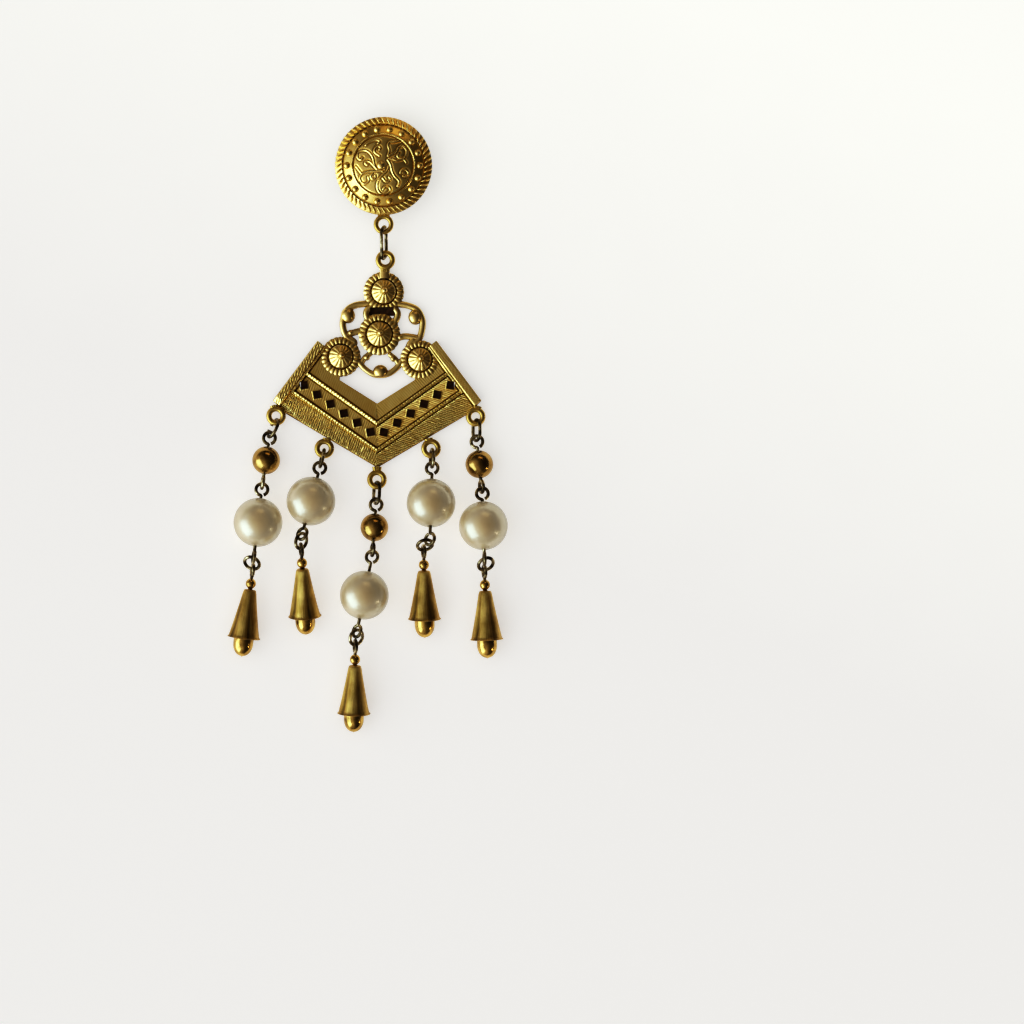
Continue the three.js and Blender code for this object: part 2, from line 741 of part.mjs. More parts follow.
function strand(plan) {
  const group = new THREE.Group();
  const add = (part, geometry, finish, place, along, roll) => {
    group.add(lay(piece(plan.name + "_" + part, geometry, finish), place, along, roll));
  };
  const loopHang = hang(pinLoopWidth, wireRadius);
  const reachOf = (diameter, neck) => diameter / 2 + neck + pinLoopWidth / 2;
  const eye = eyelets[plan.name];

  const ringMiddle = plan.ringLength / 2 - wireRadius;
  const ringAlong = direction(plan.ringHeading, plan.ringSlope);
  const flat = direction(plan.ringHeading, 0);
  let spot = new THREE.Vector3(eye.x, eye.y, eyeletHeight);
  spot = pulledSpot(spot, flat, 0, eyeletMiddle, ringAlong);
  spot.addScaledVector(ringAlong, hang(plan.ringLength, eyeletWire));
  const upperRing = wireLoop(plan.ringLength, ringWidth, wireRadius);
  add("upper_ring", upperRing, "wire", spot, ringAlong, plan.ringRoll);
  let held = { along: ringAlong, roll: plan.ringRoll, middle: ringMiddle };
  const pull = (next) => pulledSpot(spot, held.along, held.roll, held.middle, next);

  // A pin, and the ball that it goes through, which rests on the surface.
  const pinned = (kind, pin, diameter, sides, finish) => {
    const [reach, tail] = pin.necks.map((neck) => reachOf(diameter, neck));
    const run = loopHang + reach;
    const along = direction(pin.heading, restingSlope(pin.heading, run, diameter / 2, pull));
    spot = pull(along).addScaledVector(along, run);
    add(kind + "_pin", eyePin(reach, tail, pin.rolls), "wire", spot, along);
    add(kind, drilledBall(diameter, sides), finish, spot, along);
    spot.addScaledVector(along, tail);
    held = { along, roll: pin.rolls[1], middle: loopMiddle };
  };
  if (plan.bead) pinned("bead", plan.bead, beadDiameter, beadSides, "polished");
  pinned("pearl", plan.pearl, pearlDiameter, pearlSides, "pearl");

  const lowerAlong = direction(plan.lowerHeading, lowerRingSlope);
  spot = pull(lowerAlong).addScaledVector(lowerAlong, hang(ringWidth, wireRadius));
  const lowerRing = wireLoop(ringWidth, ringWidth, wireRadius);
  add("lower_ring", lowerRing, "wire", spot, lowerAlong, plan.lowerRoll);
  held = { along: lowerAlong, roll: plan.lowerRoll, middle: ringWidth / 2 - wireRadius };

  // The cone lies with its hem on the surface.
  const coneTop = coneNeckLength + neckBallDiameter / 2 + boreClearance;
  const hemRun = loopHang + coneTop + coneLength;
  const coneSlope = restingSlope(plan.coneHeading, hemRun, coneHemWidth / 2, pull);
  const coneAlong = direction(plan.coneHeading, coneSlope);
  spot = pull(coneAlong).addScaledVector(coneAlong, loopHang);
  add("tip_pin", tipPin(), "casting", spot, coneAlong);
  spot.addScaledVector(coneAlong, coneTop);
  add("cone", flutedCone(), "satin", spot, coneAlong);
  return group;
}

// The earring, from the plate up to the disc and down the strands

const earring = new THREE.Group();
earring.add(piece("chevron_plate", chevronPlate(), "casting"));
for (const plan of strands) earring.add(strand(plan));

const crest = new THREE.Vector3(0, crestEyeletAt, 0).applyAxisAngle(up, rad(crestTurn));
const discBack = clipDepth + seatGap;
const linkHang = ovalLinkLength / 2 - 2 * wireRadius - eyeletWire - ovalLinkSlack;
const linkRise = slopeOf(discBack + wireRadius - crestEyeletHeight, 2 * linkHang);
const linkAlong = new THREE.Vector3(0, Math.cos(rad(linkRise)), Math.sin(rad(linkRise)));
const linkPlace = crest.clone().setZ(crestEyeletHeight);
linkPlace.y += eyeletMiddle;
linkPlace.addScaledVector(linkAlong, linkHang);
const ovalLink = wireLoop(ovalLinkLength, ovalLinkWidth, wireRadius);
earring.add(lay(piece("oval_link", ovalLink, "wire"), linkPlace, linkAlong, ovalLinkRoll));

const discPlace = linkPlace.clone().addScaledVector(linkAlong, linkHang);
discPlace.y += discLoopWidth / 2 - wireRadius + discLoopReach + discRadius;
const disc = piece("stud_disc", studDisc(), "casting");
disc.position.set(discPlace.x, discPlace.y, discBack);
const clip = piece("ear_clip", earClip(), "casting");
clip.position.set(discPlace.x, discPlace.y, 0);
earring.add(disc, clip);

// The origin is on the surface under the middle of the whole.
const box = new THREE.Box3().setFromObject(earring, true);
const centre = box.getCenter(new THREE.Vector3());
earring.position.set(-centre.x, -centre.y, -box.min.z);

export default earring;
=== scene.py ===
"""The chandelier earring dressed: cast relief, pearls, wound wire and the photograph's light."""
import bpy
import math
import numpy as np
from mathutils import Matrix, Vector


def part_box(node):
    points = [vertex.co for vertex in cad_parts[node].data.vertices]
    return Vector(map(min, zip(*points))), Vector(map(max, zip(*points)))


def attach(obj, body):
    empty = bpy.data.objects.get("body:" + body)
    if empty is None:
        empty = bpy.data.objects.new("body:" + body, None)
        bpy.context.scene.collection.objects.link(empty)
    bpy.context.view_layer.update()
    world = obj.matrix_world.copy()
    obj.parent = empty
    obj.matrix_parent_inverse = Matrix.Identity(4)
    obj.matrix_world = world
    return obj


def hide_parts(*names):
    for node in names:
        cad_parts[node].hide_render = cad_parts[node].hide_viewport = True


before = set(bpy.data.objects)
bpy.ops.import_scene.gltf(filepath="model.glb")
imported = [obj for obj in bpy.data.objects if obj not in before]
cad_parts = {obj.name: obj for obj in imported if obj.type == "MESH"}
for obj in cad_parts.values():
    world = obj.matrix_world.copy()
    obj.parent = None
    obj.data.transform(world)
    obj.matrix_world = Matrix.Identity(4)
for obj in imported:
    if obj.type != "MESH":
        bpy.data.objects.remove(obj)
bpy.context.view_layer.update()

MM = 0.001

# Sizes in millimetres that the solids share
WIRE = 0.28  # radius of the wire
PIN_LOOP = 2.5  # outside diameter of a pin's loop
EYELET_WIRE = 0.45  # radius of an eyelet's rim
EYELET_MIDDLE = 1.17  # from an eyelet's middle to the middle of its rim
EYELET_HEIGHT = 1.38  # a lower eyelet's middle over the floor
PEARL = 8.0  # diameter
BEAD = 4.6  # diameter
BORE = 0.42  # radius of the hole through a pearl or bead

STRANDS = ["outer_left", "inner_left", "centre", "inner_right", "outer_right"]

# The plate is drawn from the point of its inner V, which lies on its axis
V_OVER_FOOT = 14.1  # the V point over the plate's lowest point
plate_low, plate_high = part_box("chevron_plate")
PLATE_X = (plate_low[0] + plate_high[0]) / 2 / MM
PLATE_Y = plate_low[1] / MM + V_OVER_FOOT
plate_at = np.array([PLATE_X, PLATE_Y, 0.0])

# The photograph: its width and the V point in pixels, and its scale
PICTURE = 1024
V_POINT = (377.0, 403.5)
PIXELS_PER_MM = 6.1


def spot(px, py):
    """A place on the photograph, in millimetres from the plate's V point."""
    return ((px - V_POINT[0]) / PIXELS_PER_MM, (V_POINT[1] - py) / PIXELS_PER_MM)


# Materials

# Texture scales in cells a metre, with the size of a patch in millimetres
CAST_WEAR = 420.0  # 2.4, where a casting is rubbed or dull
CAST_SKIN = 5200.0  # 0.19, the grain that the mould leaves
# Speckle in the dark sheet of painted shade behind the diamonds
SHADE_SHEET_SPECKLE = 1500.0  # 0.67
PLATING_WEAR = 700.0  # 1.4, faint dull clouds
PLATING_DENTS = 900.0  # 1.1
SHEET_WEAR = 380.0  # 2.6
WIRE_WEAR = 900.0  # 1.1
PEARL_CLOUDS = 260.0  # 3.8
PEARL_DENTS = 1400.0  # 0.7
CARD_TOOTH = 60.0  # 17, coarser than real card, to show

MILLING = 0.85  # 0.37 mm from cut to cut, over coordinates in millimetres
DRAWN_LINES = 90.0  # lines round half a cone, 0.1 mm apart at its hem


def linear(colour):
    """An sRGB hex colour as linear red, green, blue and alpha."""
    parts = [int(colour[i:i + 2], 16) / 255 for i in (1, 3, 5)]
    return [c / 12.92 if c <= 0.04045 else ((c + 0.055) / 1.055) ** 2.4 for c in parts] + [1.0]


def add(tree, kind, inputs=None, **settings):
    """Adds a node with its settings, and a value or a link for each named input."""
    node = tree.nodes.new(kind)
    for name, value in settings.items():
        setattr(node, name, value)
    for name, value in (inputs or {}).items():
        socket = node.inputs[name]
        if isinstance(value, bpy.types.NodeSocket):
            tree.links.new(value, socket)
        else:
            socket.default_value = value
    return node


def ramp(tree, factor, stops):
    """A colour ramp over a factor, from (position, hex colour) stops."""
    node = add(tree, "ShaderNodeValToRGB", {"Fac": factor})
    bands = node.color_ramp.elements
    while len(bands) < len(stops):
        bands.new(0.5)
    for band, (position, colour) in zip(bands, stops):
        band.position = position
        band.color = linear(colour)
    return node.outputs["Color"]


def new_material(name, *patterns):
    """A material, its tree, the place on the piece and noise patterns, as (scale, detail)."""
    material = bpy.data.materials.new(name)
    material.use_nodes = True
    tree = material.node_tree
    tree.nodes.clear()
    place = add(tree, "ShaderNodeTexCoord").outputs["Object"]
    return material, tree, place, *[add(tree, "ShaderNodeTexNoise", {
        "Vector": place, "Scale": scale, "Detail": detail}).outputs["Fac"]
        for scale, detail in patterns]


def finish(material, inputs):
    """Closes a material with one surface shader."""
    tree = material.node_tree
    shader = add(tree, "ShaderNodeBsdfPrincipled", inputs)
    add(tree, "ShaderNodeOutputMaterial", {"Surface": shader.outputs["BSDF"]})
    return material


def finish_metal(material, colour, rough, bump):
    """Closes a metal."""
    return finish(material, {"Base Color": colour, "Roughness": rough, "Metallic": 1.0,
                             "Normal": bump.outputs["Normal"]})


def cast_gold(name, grain=1.0, shine=0.31, tints=("#FBE090", "#DEAA44", "#4E300A")):
    """Antiqued cast plating: brown stays in the hollows, painted shade darkens the edges and
    walls, the high spots are rubbed pale, and the milled parts are cut by fine lines that
    follow the "wrap" coordinates."""
    material, tree, _, clouds, skin = new_material(name, (CAST_WEAR, 4.0), (CAST_SKIN, 3.0))
    wrap = add(tree, "ShaderNodeUVMap", uv_map="wrap").outputs["UV"]
    cut = add(tree, "ShaderNodeAttribute", attribute_name="milled").outputs["Fac"]
    lines = add(tree, "ShaderNodeMapping", {"Vector": wrap, "Scale": (1.0, 0.3, 1.0)})
    milling = add(tree, "ShaderNodeTexWave", {
        "Vector": lines.outputs[0], "Scale": MILLING, "Distortion": 3.8, "Detail": 2.0,
        "Detail Scale": 2.1, "Detail Roughness": 0.6}, wave_type="BANDS", bands_direction="X")
    milling = add(tree, "ShaderNodeMath", {0: milling.outputs["Fac"], 1: cut}, operation="MULTIPLY")
    patina_and_shade = add(tree, "ShaderNodeAttribute", attribute_name="patina_and_shade").outputs["Fac"]
    # The attribute holds antiquing in hollows and painted shade on edges, walls and cone folds.
    wear_patina_and_shade = add(tree, "ShaderNodeMath", {0: clouds, 1: 0.35, 2: patina_and_shade}, operation="MULTIPLY_ADD")
    colour = ramp(tree, wear_patina_and_shade.outputs[0], list(zip((0.08, 0.4, 1.0), tints)))
    rough = add(tree, "ShaderNodeMapRange", {
        "Value": wear_patina_and_shade.outputs[0], "To Min": shine, "To Max": shine + 0.28})
    bump = add(tree, "ShaderNodeBump", {
        "Height": skin, "Strength": 0.22 * grain, "Distance": 0.00005})
    cuts = add(tree, "ShaderNodeBump", {
        "Height": milling.outputs[0], "Distance": 0.00015, "Normal": bump.outputs["Normal"]})
    return finish_metal(material, colour, rough.outputs["Result"], cuts)


def shade_sheet_finish(name):
    """Dull brown-black metal: painted shade, seen through the diamonds and the slot."""
    material, tree, _, clouds = new_material(name, (SHADE_SHEET_SPECKLE, 3.0))
    colour = ramp(tree, clouds, [(0.35, "#3A200C"), (0.7, "#6A4016")])
    return finish(material, {"Base Color": colour, "Roughness": 0.6, "Metallic": 0.1})


def clouded_metal(name, wear, stops, rough_from, rough_to, dents, strength, depth):
    """Plating with clouds that tint it and map its roughness from one range to another, and
    with dents. Wear and dents are patterns."""
    material, tree, _, clouds, hollows = new_material(name, wear, dents)
    rough = add(tree, "ShaderNodeMapRange", {
        "Value": clouds, "From Min": rough_from[0], "From Max": rough_from[1],
        "To Min": rough_to[0], "To Max": rough_to[1]})
    bump = add(tree, "ShaderNodeBump", {"Height": hollows, "Strength": strength, "Distance": depth})
    return finish_metal(material, ramp(tree, clouds, stops), rough.outputs["Result"], bump)


def polished_gold(name, shine, tint="#BC9A5A"):
    """Plated and polished: a mirror with a few faint dull clouds and tiny dents."""
    return clouded_metal(name, (PLATING_WEAR, 3.0), [(0.3, "#846634"), (0.6, tint)], (0.35, 0.75),
                         (shine, shine + 0.12), (PLATING_DENTS, 1.0), 0.25, 0.0001)


def wire_metal(name):
    """Plated wire that has darkened: brown-black and pale brass in random clouds."""
    stops = [(0.36, "#33271A"), (0.5, "#786546"), (0.64, "#CDBD98")]
    return clouded_metal(name, (WIRE_WEAR, 5.0), stops, (0.3, 0.7), (0.42, 0.2), (WIRE_WEAR, 5.0),
                         0.3, 0.00008)


def satin_gold(name):
    """Drawn sheet gold: fine lines along the cone, a soft sheen, brown left in the lines, and
    painted shade in the folds' creases and inside.
    """
    material, tree, _, clouds = new_material(name, (SHEET_WEAR, 4.0))
    wrap = add(tree, "ShaderNodeUVMap", uv_map="wrap").outputs["UV"]
    lines = add(tree, "ShaderNodeMapping", {"Vector": wrap, "Scale": (DRAWN_LINES, 2.0, 1.0)})
    streak = add(tree, "ShaderNodeTexNoise", {
        "Vector": lines.outputs[0], "Scale": 1.0, "Detail": 4.0})
    patina_and_shade = add(tree, "ShaderNodeAttribute", attribute_name="patina_and_shade").outputs["Fac"]
    mixed = add(tree, "ShaderNodeMath", {0: streak.outputs["Fac"], 1: clouds}, operation="MULTIPLY")
    mixed = add(tree, "ShaderNodeMath", {0: mixed.outputs[0], 1: patina_and_shade}, operation="ADD")
    colour = ramp(tree, mixed.outputs[0], [(0.12, "#E8C87A"), (0.36, "#AE8A46"), (0.9, "#40290C")])
    bump = add(tree, "ShaderNodeBump", {
        "Height": streak.outputs["Fac"], "Strength": 0.7, "Distance": 0.0001})
    return finish_metal(material, colour, 0.44, bump)


def pearl_coat(name):
    """Glass pearl: a cream body under lacquer, warmest in the middle and at the rim, with a
    bluish highlight, a soft sheen and a thin clear gloss."""
    material, tree, _, clouds, dents = new_material(name, (PEARL_CLOUDS, 3.0), (PEARL_DENTS, 2.0))
    body = ramp(tree, clouds, [(0.35, "#F1ECE2"), (0.65, "#FDFBF7")])
    edge = add(tree, "ShaderNodeLayerWeight", {"Blend": 0.5}).outputs["Facing"]
    lustre = ramp(tree, edge, [
        (0.0, "#EED9AC"), (0.16, "#F2E6CA"), (0.35, "#FAEED0"), (0.55, "#F6E8C8"),
        (0.85, "#D2C098")])
    colour = add(tree, "ShaderNodeMix", {
        "Factor": 1.0, "A": body, "B": lustre}, data_type="RGBA", blend_type="MULTIPLY")
    bump = add(tree, "ShaderNodeBump", {"Height": dents, "Strength": 0.12, "Distance": 0.00003})
    return finish(material, {
        "Base Color": colour.outputs["Result"], "Roughness": 0.33, "Metallic": 0.2,
        "Specular IOR Level": 1.0, "Specular Tint": linear("#D2F1FF"),
        "Sheen Weight": 0.25, "Sheen Roughness": 0.5, "Sheen Tint": linear("#FFEFCF"),
        "Coat Weight": 0.6, "Coat Roughness": 0.12, "Normal": bump.outputs["Normal"]})


def paper(name):
    """Pale matt card with the faintest tooth, and painted light: a little lighter towards the upper
    right, and an even emission glow that lifts its shadows."""
    material, tree, place, tooth = new_material(name, (CARD_TOOTH, 5.0))
    # Painted light: the card is lighter towards the upper right.
    painted_light_slope = add(tree, "ShaderNodeVectorMath", {0: place, 1: (2.5, 6.0, 0.0)},
                operation="DOT_PRODUCT")
    shade = add(tree, "ShaderNodeMath", {
        0: tooth, 1: 0.1, 2: painted_light_slope.outputs["Value"]}, operation="MULTIPLY_ADD")
    colour = ramp(tree, shade.outputs[0], [(0.0, "#E2E2E1"), (0.6, "#F3F5F0")])
    # The emission is painted light: the card glows.
    return finish(material, {
        "Base Color": colour, "Roughness": 0.9, "Emission Color": colour, "Emission Strength": 0.6})


plate_gold = cast_gold("antique gold casting")
# The loops take darker tints than the casting they belong to: painted shade.
shaded_loop_gold = cast_gold("antique gold loop painted darker", tints=("#D8B868", "#A8823C", "#3E280A"))
# Dark finish of the strip behind the diamonds: painted shade.
painted_shade_sheet = shade_sheet_finish("painted shade sheet")
wire_gold = wire_metal("oxidised wire")
crest_gold = cast_gold("antique gold crest", tints=("#EED088", "#C0943E", "#44280A"))
disc_gold = cast_gold("antique gold disc", shine=0.26)
bead_gold = polished_gold("polished gold bead", 0.15)
tip_gold = polished_gold("polished gold tip", 0.16, tint="#DCB668")
cone_gold = satin_gold("satin gold cone")
pearl_lacquer = pearl_coat("pearl coating")


# Meshes

def put(name, data):
    """An object in the scene."""
    thing = bpy.data.objects.new(name, data)
    bpy.context.scene.collection.objects.link(thing)
    return thing


def mesh_piece(name, corners, faces, material, sharp, wrap, fields):
    """A mesh object from corners in millimetres, smooth but for edges sharper than an angle."""
    mesh = bpy.data.meshes.new(name)
    mesh.from_pydata((np.asarray(corners) * MM).tolist(), [], [list(f) for f in faces])
    mesh.materials.append(material)
    layer = mesh.uv_layers.new(name="wrap")
    order = np.empty(len(mesh.loops), dtype=np.int32)
    mesh.loops.foreach_get("vertex_index", order)
    layer.data.foreach_set("uv", np.asarray(wrap, dtype=np.float32)[order].ravel())
    for label, values in fields.items():
        layer = mesh.attributes.new(label, "FLOAT", "POINT")
        layer.data.foreach_set("value", np.asarray(values, dtype=np.float32))
    mesh.validate()
    mesh.shade_smooth()
    mesh.set_sharp_from_angle(angle=math.radians(sharp))
    return put(name, mesh)


def dress(piece, node):
    """Lets a piece stand for a solid and ride with the earring."""
    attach(piece, "root")
    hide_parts(node)


def lathe(profile, sides, swell=None, closed=False):
    """A body turned about X from [along, radius] points; the ends on the axis are one corner."""
    corners, faces, wrap, rows = [], [], [], []
    for index, (along, radius) in enumerate(profile):
        if radius < 1e-6:
            rows.append([len(corners)] * sides)
            corners.append((along, 0.0, 0.0))
            wrap.append((0.5, along))
            continue
        row = []
        for i in range(sides):
            angle = 2 * math.pi * i / sides
            r = radius * (swell(angle, index) if swell else 1.0)
            row.append(len(corners))
            corners.append((along, r * math.cos(angle), r * math.sin(angle)))
            wrap.append((2 * abs(i / sides - 0.5), along / 10))
        rows.append(row)
    pairs = list(zip(rows, rows[1:])) + ([(rows[-1], rows[0])] if closed else [])
    for low, high in pairs:
        for i in range(sides):
            j = (i + 1) % sides
            face = [low[i], high[i], high[j], low[j]]
            face = [c for k, c in enumerate(face) if c != face[k - 1]]
            if len(face) > 2:
                faces.append(face)
    return np.array(corners), faces, wrap


def turned(name, node, material, profile, sides, origin, along, normal, sharp=70.0,
           swell=None, closed=False, patina_and_shade=None):
    """A turned piece from an origin along a direction, in place of a solid."""
    corners, faces, wrap = lathe(profile, sides, swell, closed)
    fields = {"patina_and_shade": patina_and_shade(len(corners))} if patina_and_shade else {}
    piece = mesh_piece(name, placed(corners, origin, along, normal), faces, material, sharp, wrap,
                       fields)
    dress(piece, node)


def solid_corners(node):
    """A solid's corners, in millimetres."""
    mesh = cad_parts[node].data
    flat = np.empty(3 * len(mesh.vertices))
    mesh.vertices.foreach_get("co", flat)
    return flat.reshape(-1, 3) / MM


def lie(points):
    """The middle of a solid's corners, and its directions from the thinnest to the longest."""
    middle = points.mean(axis=0)
    directions = np.linalg.eigh(np.cov((points - middle).T))[1]
    return middle, directions[:, 0], directions[:, 1], directions[:, 2]


def placed(corners, origin, along, normal):
    """Corners drawn along X, with Z up, put at an origin along a direction."""
    side = np.cross(normal, along)
    side /= np.linalg.norm(side)
    turn = np.array([along, side, np.cross(along, side)])
    return np.asarray(corners) @ turn + origin


# Wire: a path swept by a round section

def open_tree(name, sockets, result):
    """A Geometry Nodes tree with input sockets, as (name, kind), and one result."""
    tree = bpy.data.node_groups.new(name, "GeometryNodeTree")
    for label, kind in sockets:
        tree.interface.new_socket(label, in_out="INPUT", socket_type="NodeSocket" + kind)
    tree.interface.new_socket(result, in_out="OUTPUT", socket_type="NodeSocketGeometry")
    return tree, add(tree, "NodeGroupInput").outputs


def close_tree(tree, shape, finish, result):
    """Gives a smooth shape its finish and makes it the tree's result."""
    smooth = add(tree, "GeometryNodeSetShadeSmooth", {0: shape})
    dressed = add(tree, "GeometryNodeSetMaterial", {
        "Geometry": smooth.outputs[0], "Material": finish})
    add(tree, "NodeGroupOutput", {result: dressed.outputs[0]})
    return tree


def wire_tree():
    """Geometry Nodes: the path's edges become round wire with closed ends."""
    tree, given = open_tree("wound wire", (
        ("Path", "Geometry"), ("Wire radius", "Float"), ("Sides", "Int"), ("Finish", "Material")),
        "Wire")
    line = add(tree, "GeometryNodeMeshToCurve", {"Mesh": given["Path"]})
    section = add(tree, "GeometryNodeCurvePrimitiveCircle", {
        "Resolution": given["Sides"], "Radius": given["Wire radius"]})
    swept = add(tree, "GeometryNodeCurveToMesh", {
        "Curve": line.outputs[0], "Profile Curve": section.outputs[0], "Fill Caps": True})
    real = add(tree, "GeometryNodeRealizeInstances", {"Geometry": swept.outputs[0]})
    return close_tree(tree, real.outputs[0], given["Finish"], "Wire")


def grown(name, start, tree, inputs):
    """Runs a Geometry Nodes tree on a starting mesh and keeps the result as a plain mesh."""
    seed = put(name + "_start", start)
    modifier = seed.modifiers.new("shape", "NODES")
    modifier.node_group = tree
    sockets = {s.name: s.identifier for s in tree.interface.items_tree if s.in_out == "INPUT"}
    for label, value in inputs.items():
        modifier[sockets[label]] = value
    graph = bpy.context.evaluated_depsgraph_get()
    mesh = bpy.data.meshes.new_from_object(seed.evaluated_get(graph))
    mesh.name = name
    bpy.data.objects.remove(seed)
    return put(name, mesh)


WOUND = wire_tree()


def wire(name, paths, material, radius=WIRE, sides=12):
    """Round wire along one or more open paths in millimetres."""
    start = bpy.data.meshes.new(name + "_path")
    corners, edges = [], []
    for path in paths:
        edges += [(len(corners) + i, len(corners) + i + 1) for i in range(len(path) - 1)]
        corners += [tuple(p) for p in np.asarray(path) * MM]
    start.from_pydata(corners, edges, [])
    return grown(name, start, WOUND, {
        "Wire radius": radius * MM, "Sides": sides, "Finish": material})


def hoop(middle, radius):
    """A level circle's path, whose ends meet."""
    return [middle + radius * np.array([math.cos(a), math.sin(a), 0.0])
            for a in np.linspace(0, 2 * math.pi, 49)]


def stretched_circle(length, width, start, steps=64, cut=5.0):
    """A jump ring's path in XY: half circles and straight sides, cut at a start in degrees."""
    angles = np.radians(start + cut / 2 + (360 - cut) * np.arange(steps + 1) / steps)
    x, y = np.cos(angles) * width / 2, np.sin(angles) * width / 2
    straight = np.sign(np.round(x, 4)) * (length - width) / 2
    return np.stack([x + straight, y, np.zeros_like(x)], axis=1)


def ring(node, start):
    """A jump ring or link of bent wire where its solid lies, with its cut at an angle."""
    points = solid_corners(node)
    middle, normal, across, along = lie(points)
    length, width = [np.ptp(points @ d) - 2 * WIRE for d in (along, across)]
    path = placed(stretched_circle(length, width, start), middle, along, normal)
    dress(wire(node + "_wire", [path], wire_gold), node)


# A pin's loop: its middle line's radius, and where it starts and ends round the neck in degrees
BEND = PIN_LOOP / 2 - WIRE
LOOP_START, LOOP_END = 24.0, 352.0


def eye(centre, along, normal):
    """The path of a loop bent on a wire's end: it comes round from near the neck to the neck."""
    side = np.cross(normal, along)
    angles = np.radians(np.linspace(LOOP_START, LOOP_END, 34))
    return [centre + BEND * (math.cos(a) * along + math.sin(a) * side) for a in angles]


def pin_line(node):
    """A pin's corners, middle and direction down the photograph, and how far it reaches."""
    points = solid_corners(node)
    middle, _, _, along = lie(points)
    along = along if along[1] < 0 else -along
    reach = (points - middle) @ along
    return points, middle, along, reach.min(), reach.max()


def loop_normal(points, middle, along, low, high):
    """The normal of the loop that lies between two distances along a pin."""
    reach = (points - middle) @ along
    near = points[(reach >= low) & (reach <= high)]
    return lie(near)[1]


def eye_pin(node):
    """A pin with a loop at each end, wound from one wire. It gives its direction."""
    points, middle, along, low, high = pin_line(node)
    halves = []
    for end, direction in ((low + PIN_LOOP / 2, along), (high - PIN_LOOP / 2, -along)):
        at = middle + end * along
        normal = loop_normal(points, middle, along, end - PIN_LOOP / 2, end + PIN_LOOP / 2 - 0.1)
        halves.append(eye(at, direction, normal) + [at + direction * (BEND + 0.12)])
    whole = halves[0] + halves[1][::-1]
    dress(wire(node + "_wire", [whole], wire_gold), node)
    return along


def drilled_ball(node, diameter, axis, material, sides, crater):
    """A ball turned about its hole, with a small sunk rim where the wire goes in."""
    radius = diameter / 2
    middle = solid_corners(node).mean(axis=0)
    start = math.asin((BORE + crater) / radius)
    end = -radius * math.cos(start)
    profile = [(end + 0.12, BORE), (end + 0.02, BORE + 0.4 * crater)]
    steps = sides // 2
    for i in range(steps + 1):
        angle = start + (math.pi - 2 * start) * i / steps
        profile.append((-radius * math.cos(angle), radius * math.sin(angle)))
    profile += [(-x, r) for x, r in reversed(profile[:2])]
    turned(node + "_ball", node, material, profile, sides, middle, axis,
           np.array([0.3, 0.2, 1.0]), closed=True)


# Cones and tips, in millimetres. A pin's distances start at the middle of its loop.
NECK_AT, NECK_BALL = 2.2, 0.85  # the small ball over the cone: its place and its radius
CONE_TOP = NECK_AT + NECK_BALL + 0.16
CONE_LENGTH, CONE_HEM, CONE_SIDES = 8.0, 2.75, 96
CONE_THROAT = 1.05  # radius under the cone's top edge
FOLDS, FOLD_DEPTH = 5, 0.17
SHAFT, TIP_HALF = 0.36, 1.65  # radii of the pin in the cone and of the tip
TIP_FROM, TIP_TO = CONE_TOP + CONE_LENGTH - 2.6 + 0.3, CONE_TOP + CONE_LENGTH + 3.1
UP = np.array([0.0, 0.0, 1.0])


def tip_profile():
    """The neck ball, the shaft and the bullet tip, as [along, radius] points."""
    neck = [(NECK_AT - NECK_BALL * math.cos(a), NECK_BALL * math.sin(a))
            for a in np.linspace(0, math.pi - 0.45, 18)]
    shaft = [(CONE_TOP, SHAFT), (TIP_FROM - 0.2, SHAFT), (TIP_FROM, TIP_HALF - 0.25),
             (TIP_FROM + 0.2, TIP_HALF - 0.05), (TIP_TO - TIP_HALF - 0.75, TIP_HALF)]
    nose = [(TIP_TO - 0.12 - (TIP_HALF + 0.5) * (1 - math.sin(a)), TIP_HALF * math.cos(a) ** 0.9)
            for a in np.linspace(0.12, math.pi / 2 - 0.12, 12)]
    return neck + shaft + nose + [(TIP_TO - 0.06, 0.12), (TIP_TO, 0.0)]


def tip_pin(node):
    """A cone's pin: loop, neck ball and tip. It gives the loop's middle and the direction."""
    points, middle, along, low, _ = pin_line(node)
    start = middle + (low + PIN_LOOP / 2) * along
    normal = loop_normal(points, middle, along, low, low + PIN_LOOP - 0.1)
    neck = [start + along * (BEND + 0.1), start + along * NECK_AT]
    loop = wire(node + "_loop", [eye(start, along, normal) + neck], wire_gold)
    dress(loop, node)
    turned(node + "_tip", node, tip_gold, tip_profile(), 40, start, along, UP,
           sharp=75.0)
    return start, along


# A cone's section as [along, radius] points, down the outside and up the hollow
cone_outside = [(0.0, 0.5), (0.0, 0.86), (0.1, 0.98), (0.3, CONE_THROAT)]
cone_outside += [(CONE_LENGTH * share, CONE_THROAT + (CONE_HEM - 1.2) * share ** 1.12)
                 for share in np.linspace(0.08, 0.96, 22)]
cone_outside += [(7.82, CONE_HEM - 0.1), (7.9, CONE_HEM)]
cone_inside = [(7.98, CONE_HEM - 0.1), (7.9, CONE_HEM - 0.4), (5.4, 1.3), (5.4, 0.5)]
CONE_PROFILE = cone_outside + cone_inside
LAST_FOLDED = len(cone_outside) + 1  # the rows above this one are the hollow


def fold_share(row):
    """How far the folds have opened on a row: not at the top, nor in the hollow."""
    share = min(max((CONE_PROFILE[row][0] - 0.6) / 7.4, 0), 1)
    return share if row <= LAST_FOLDED else 0.0


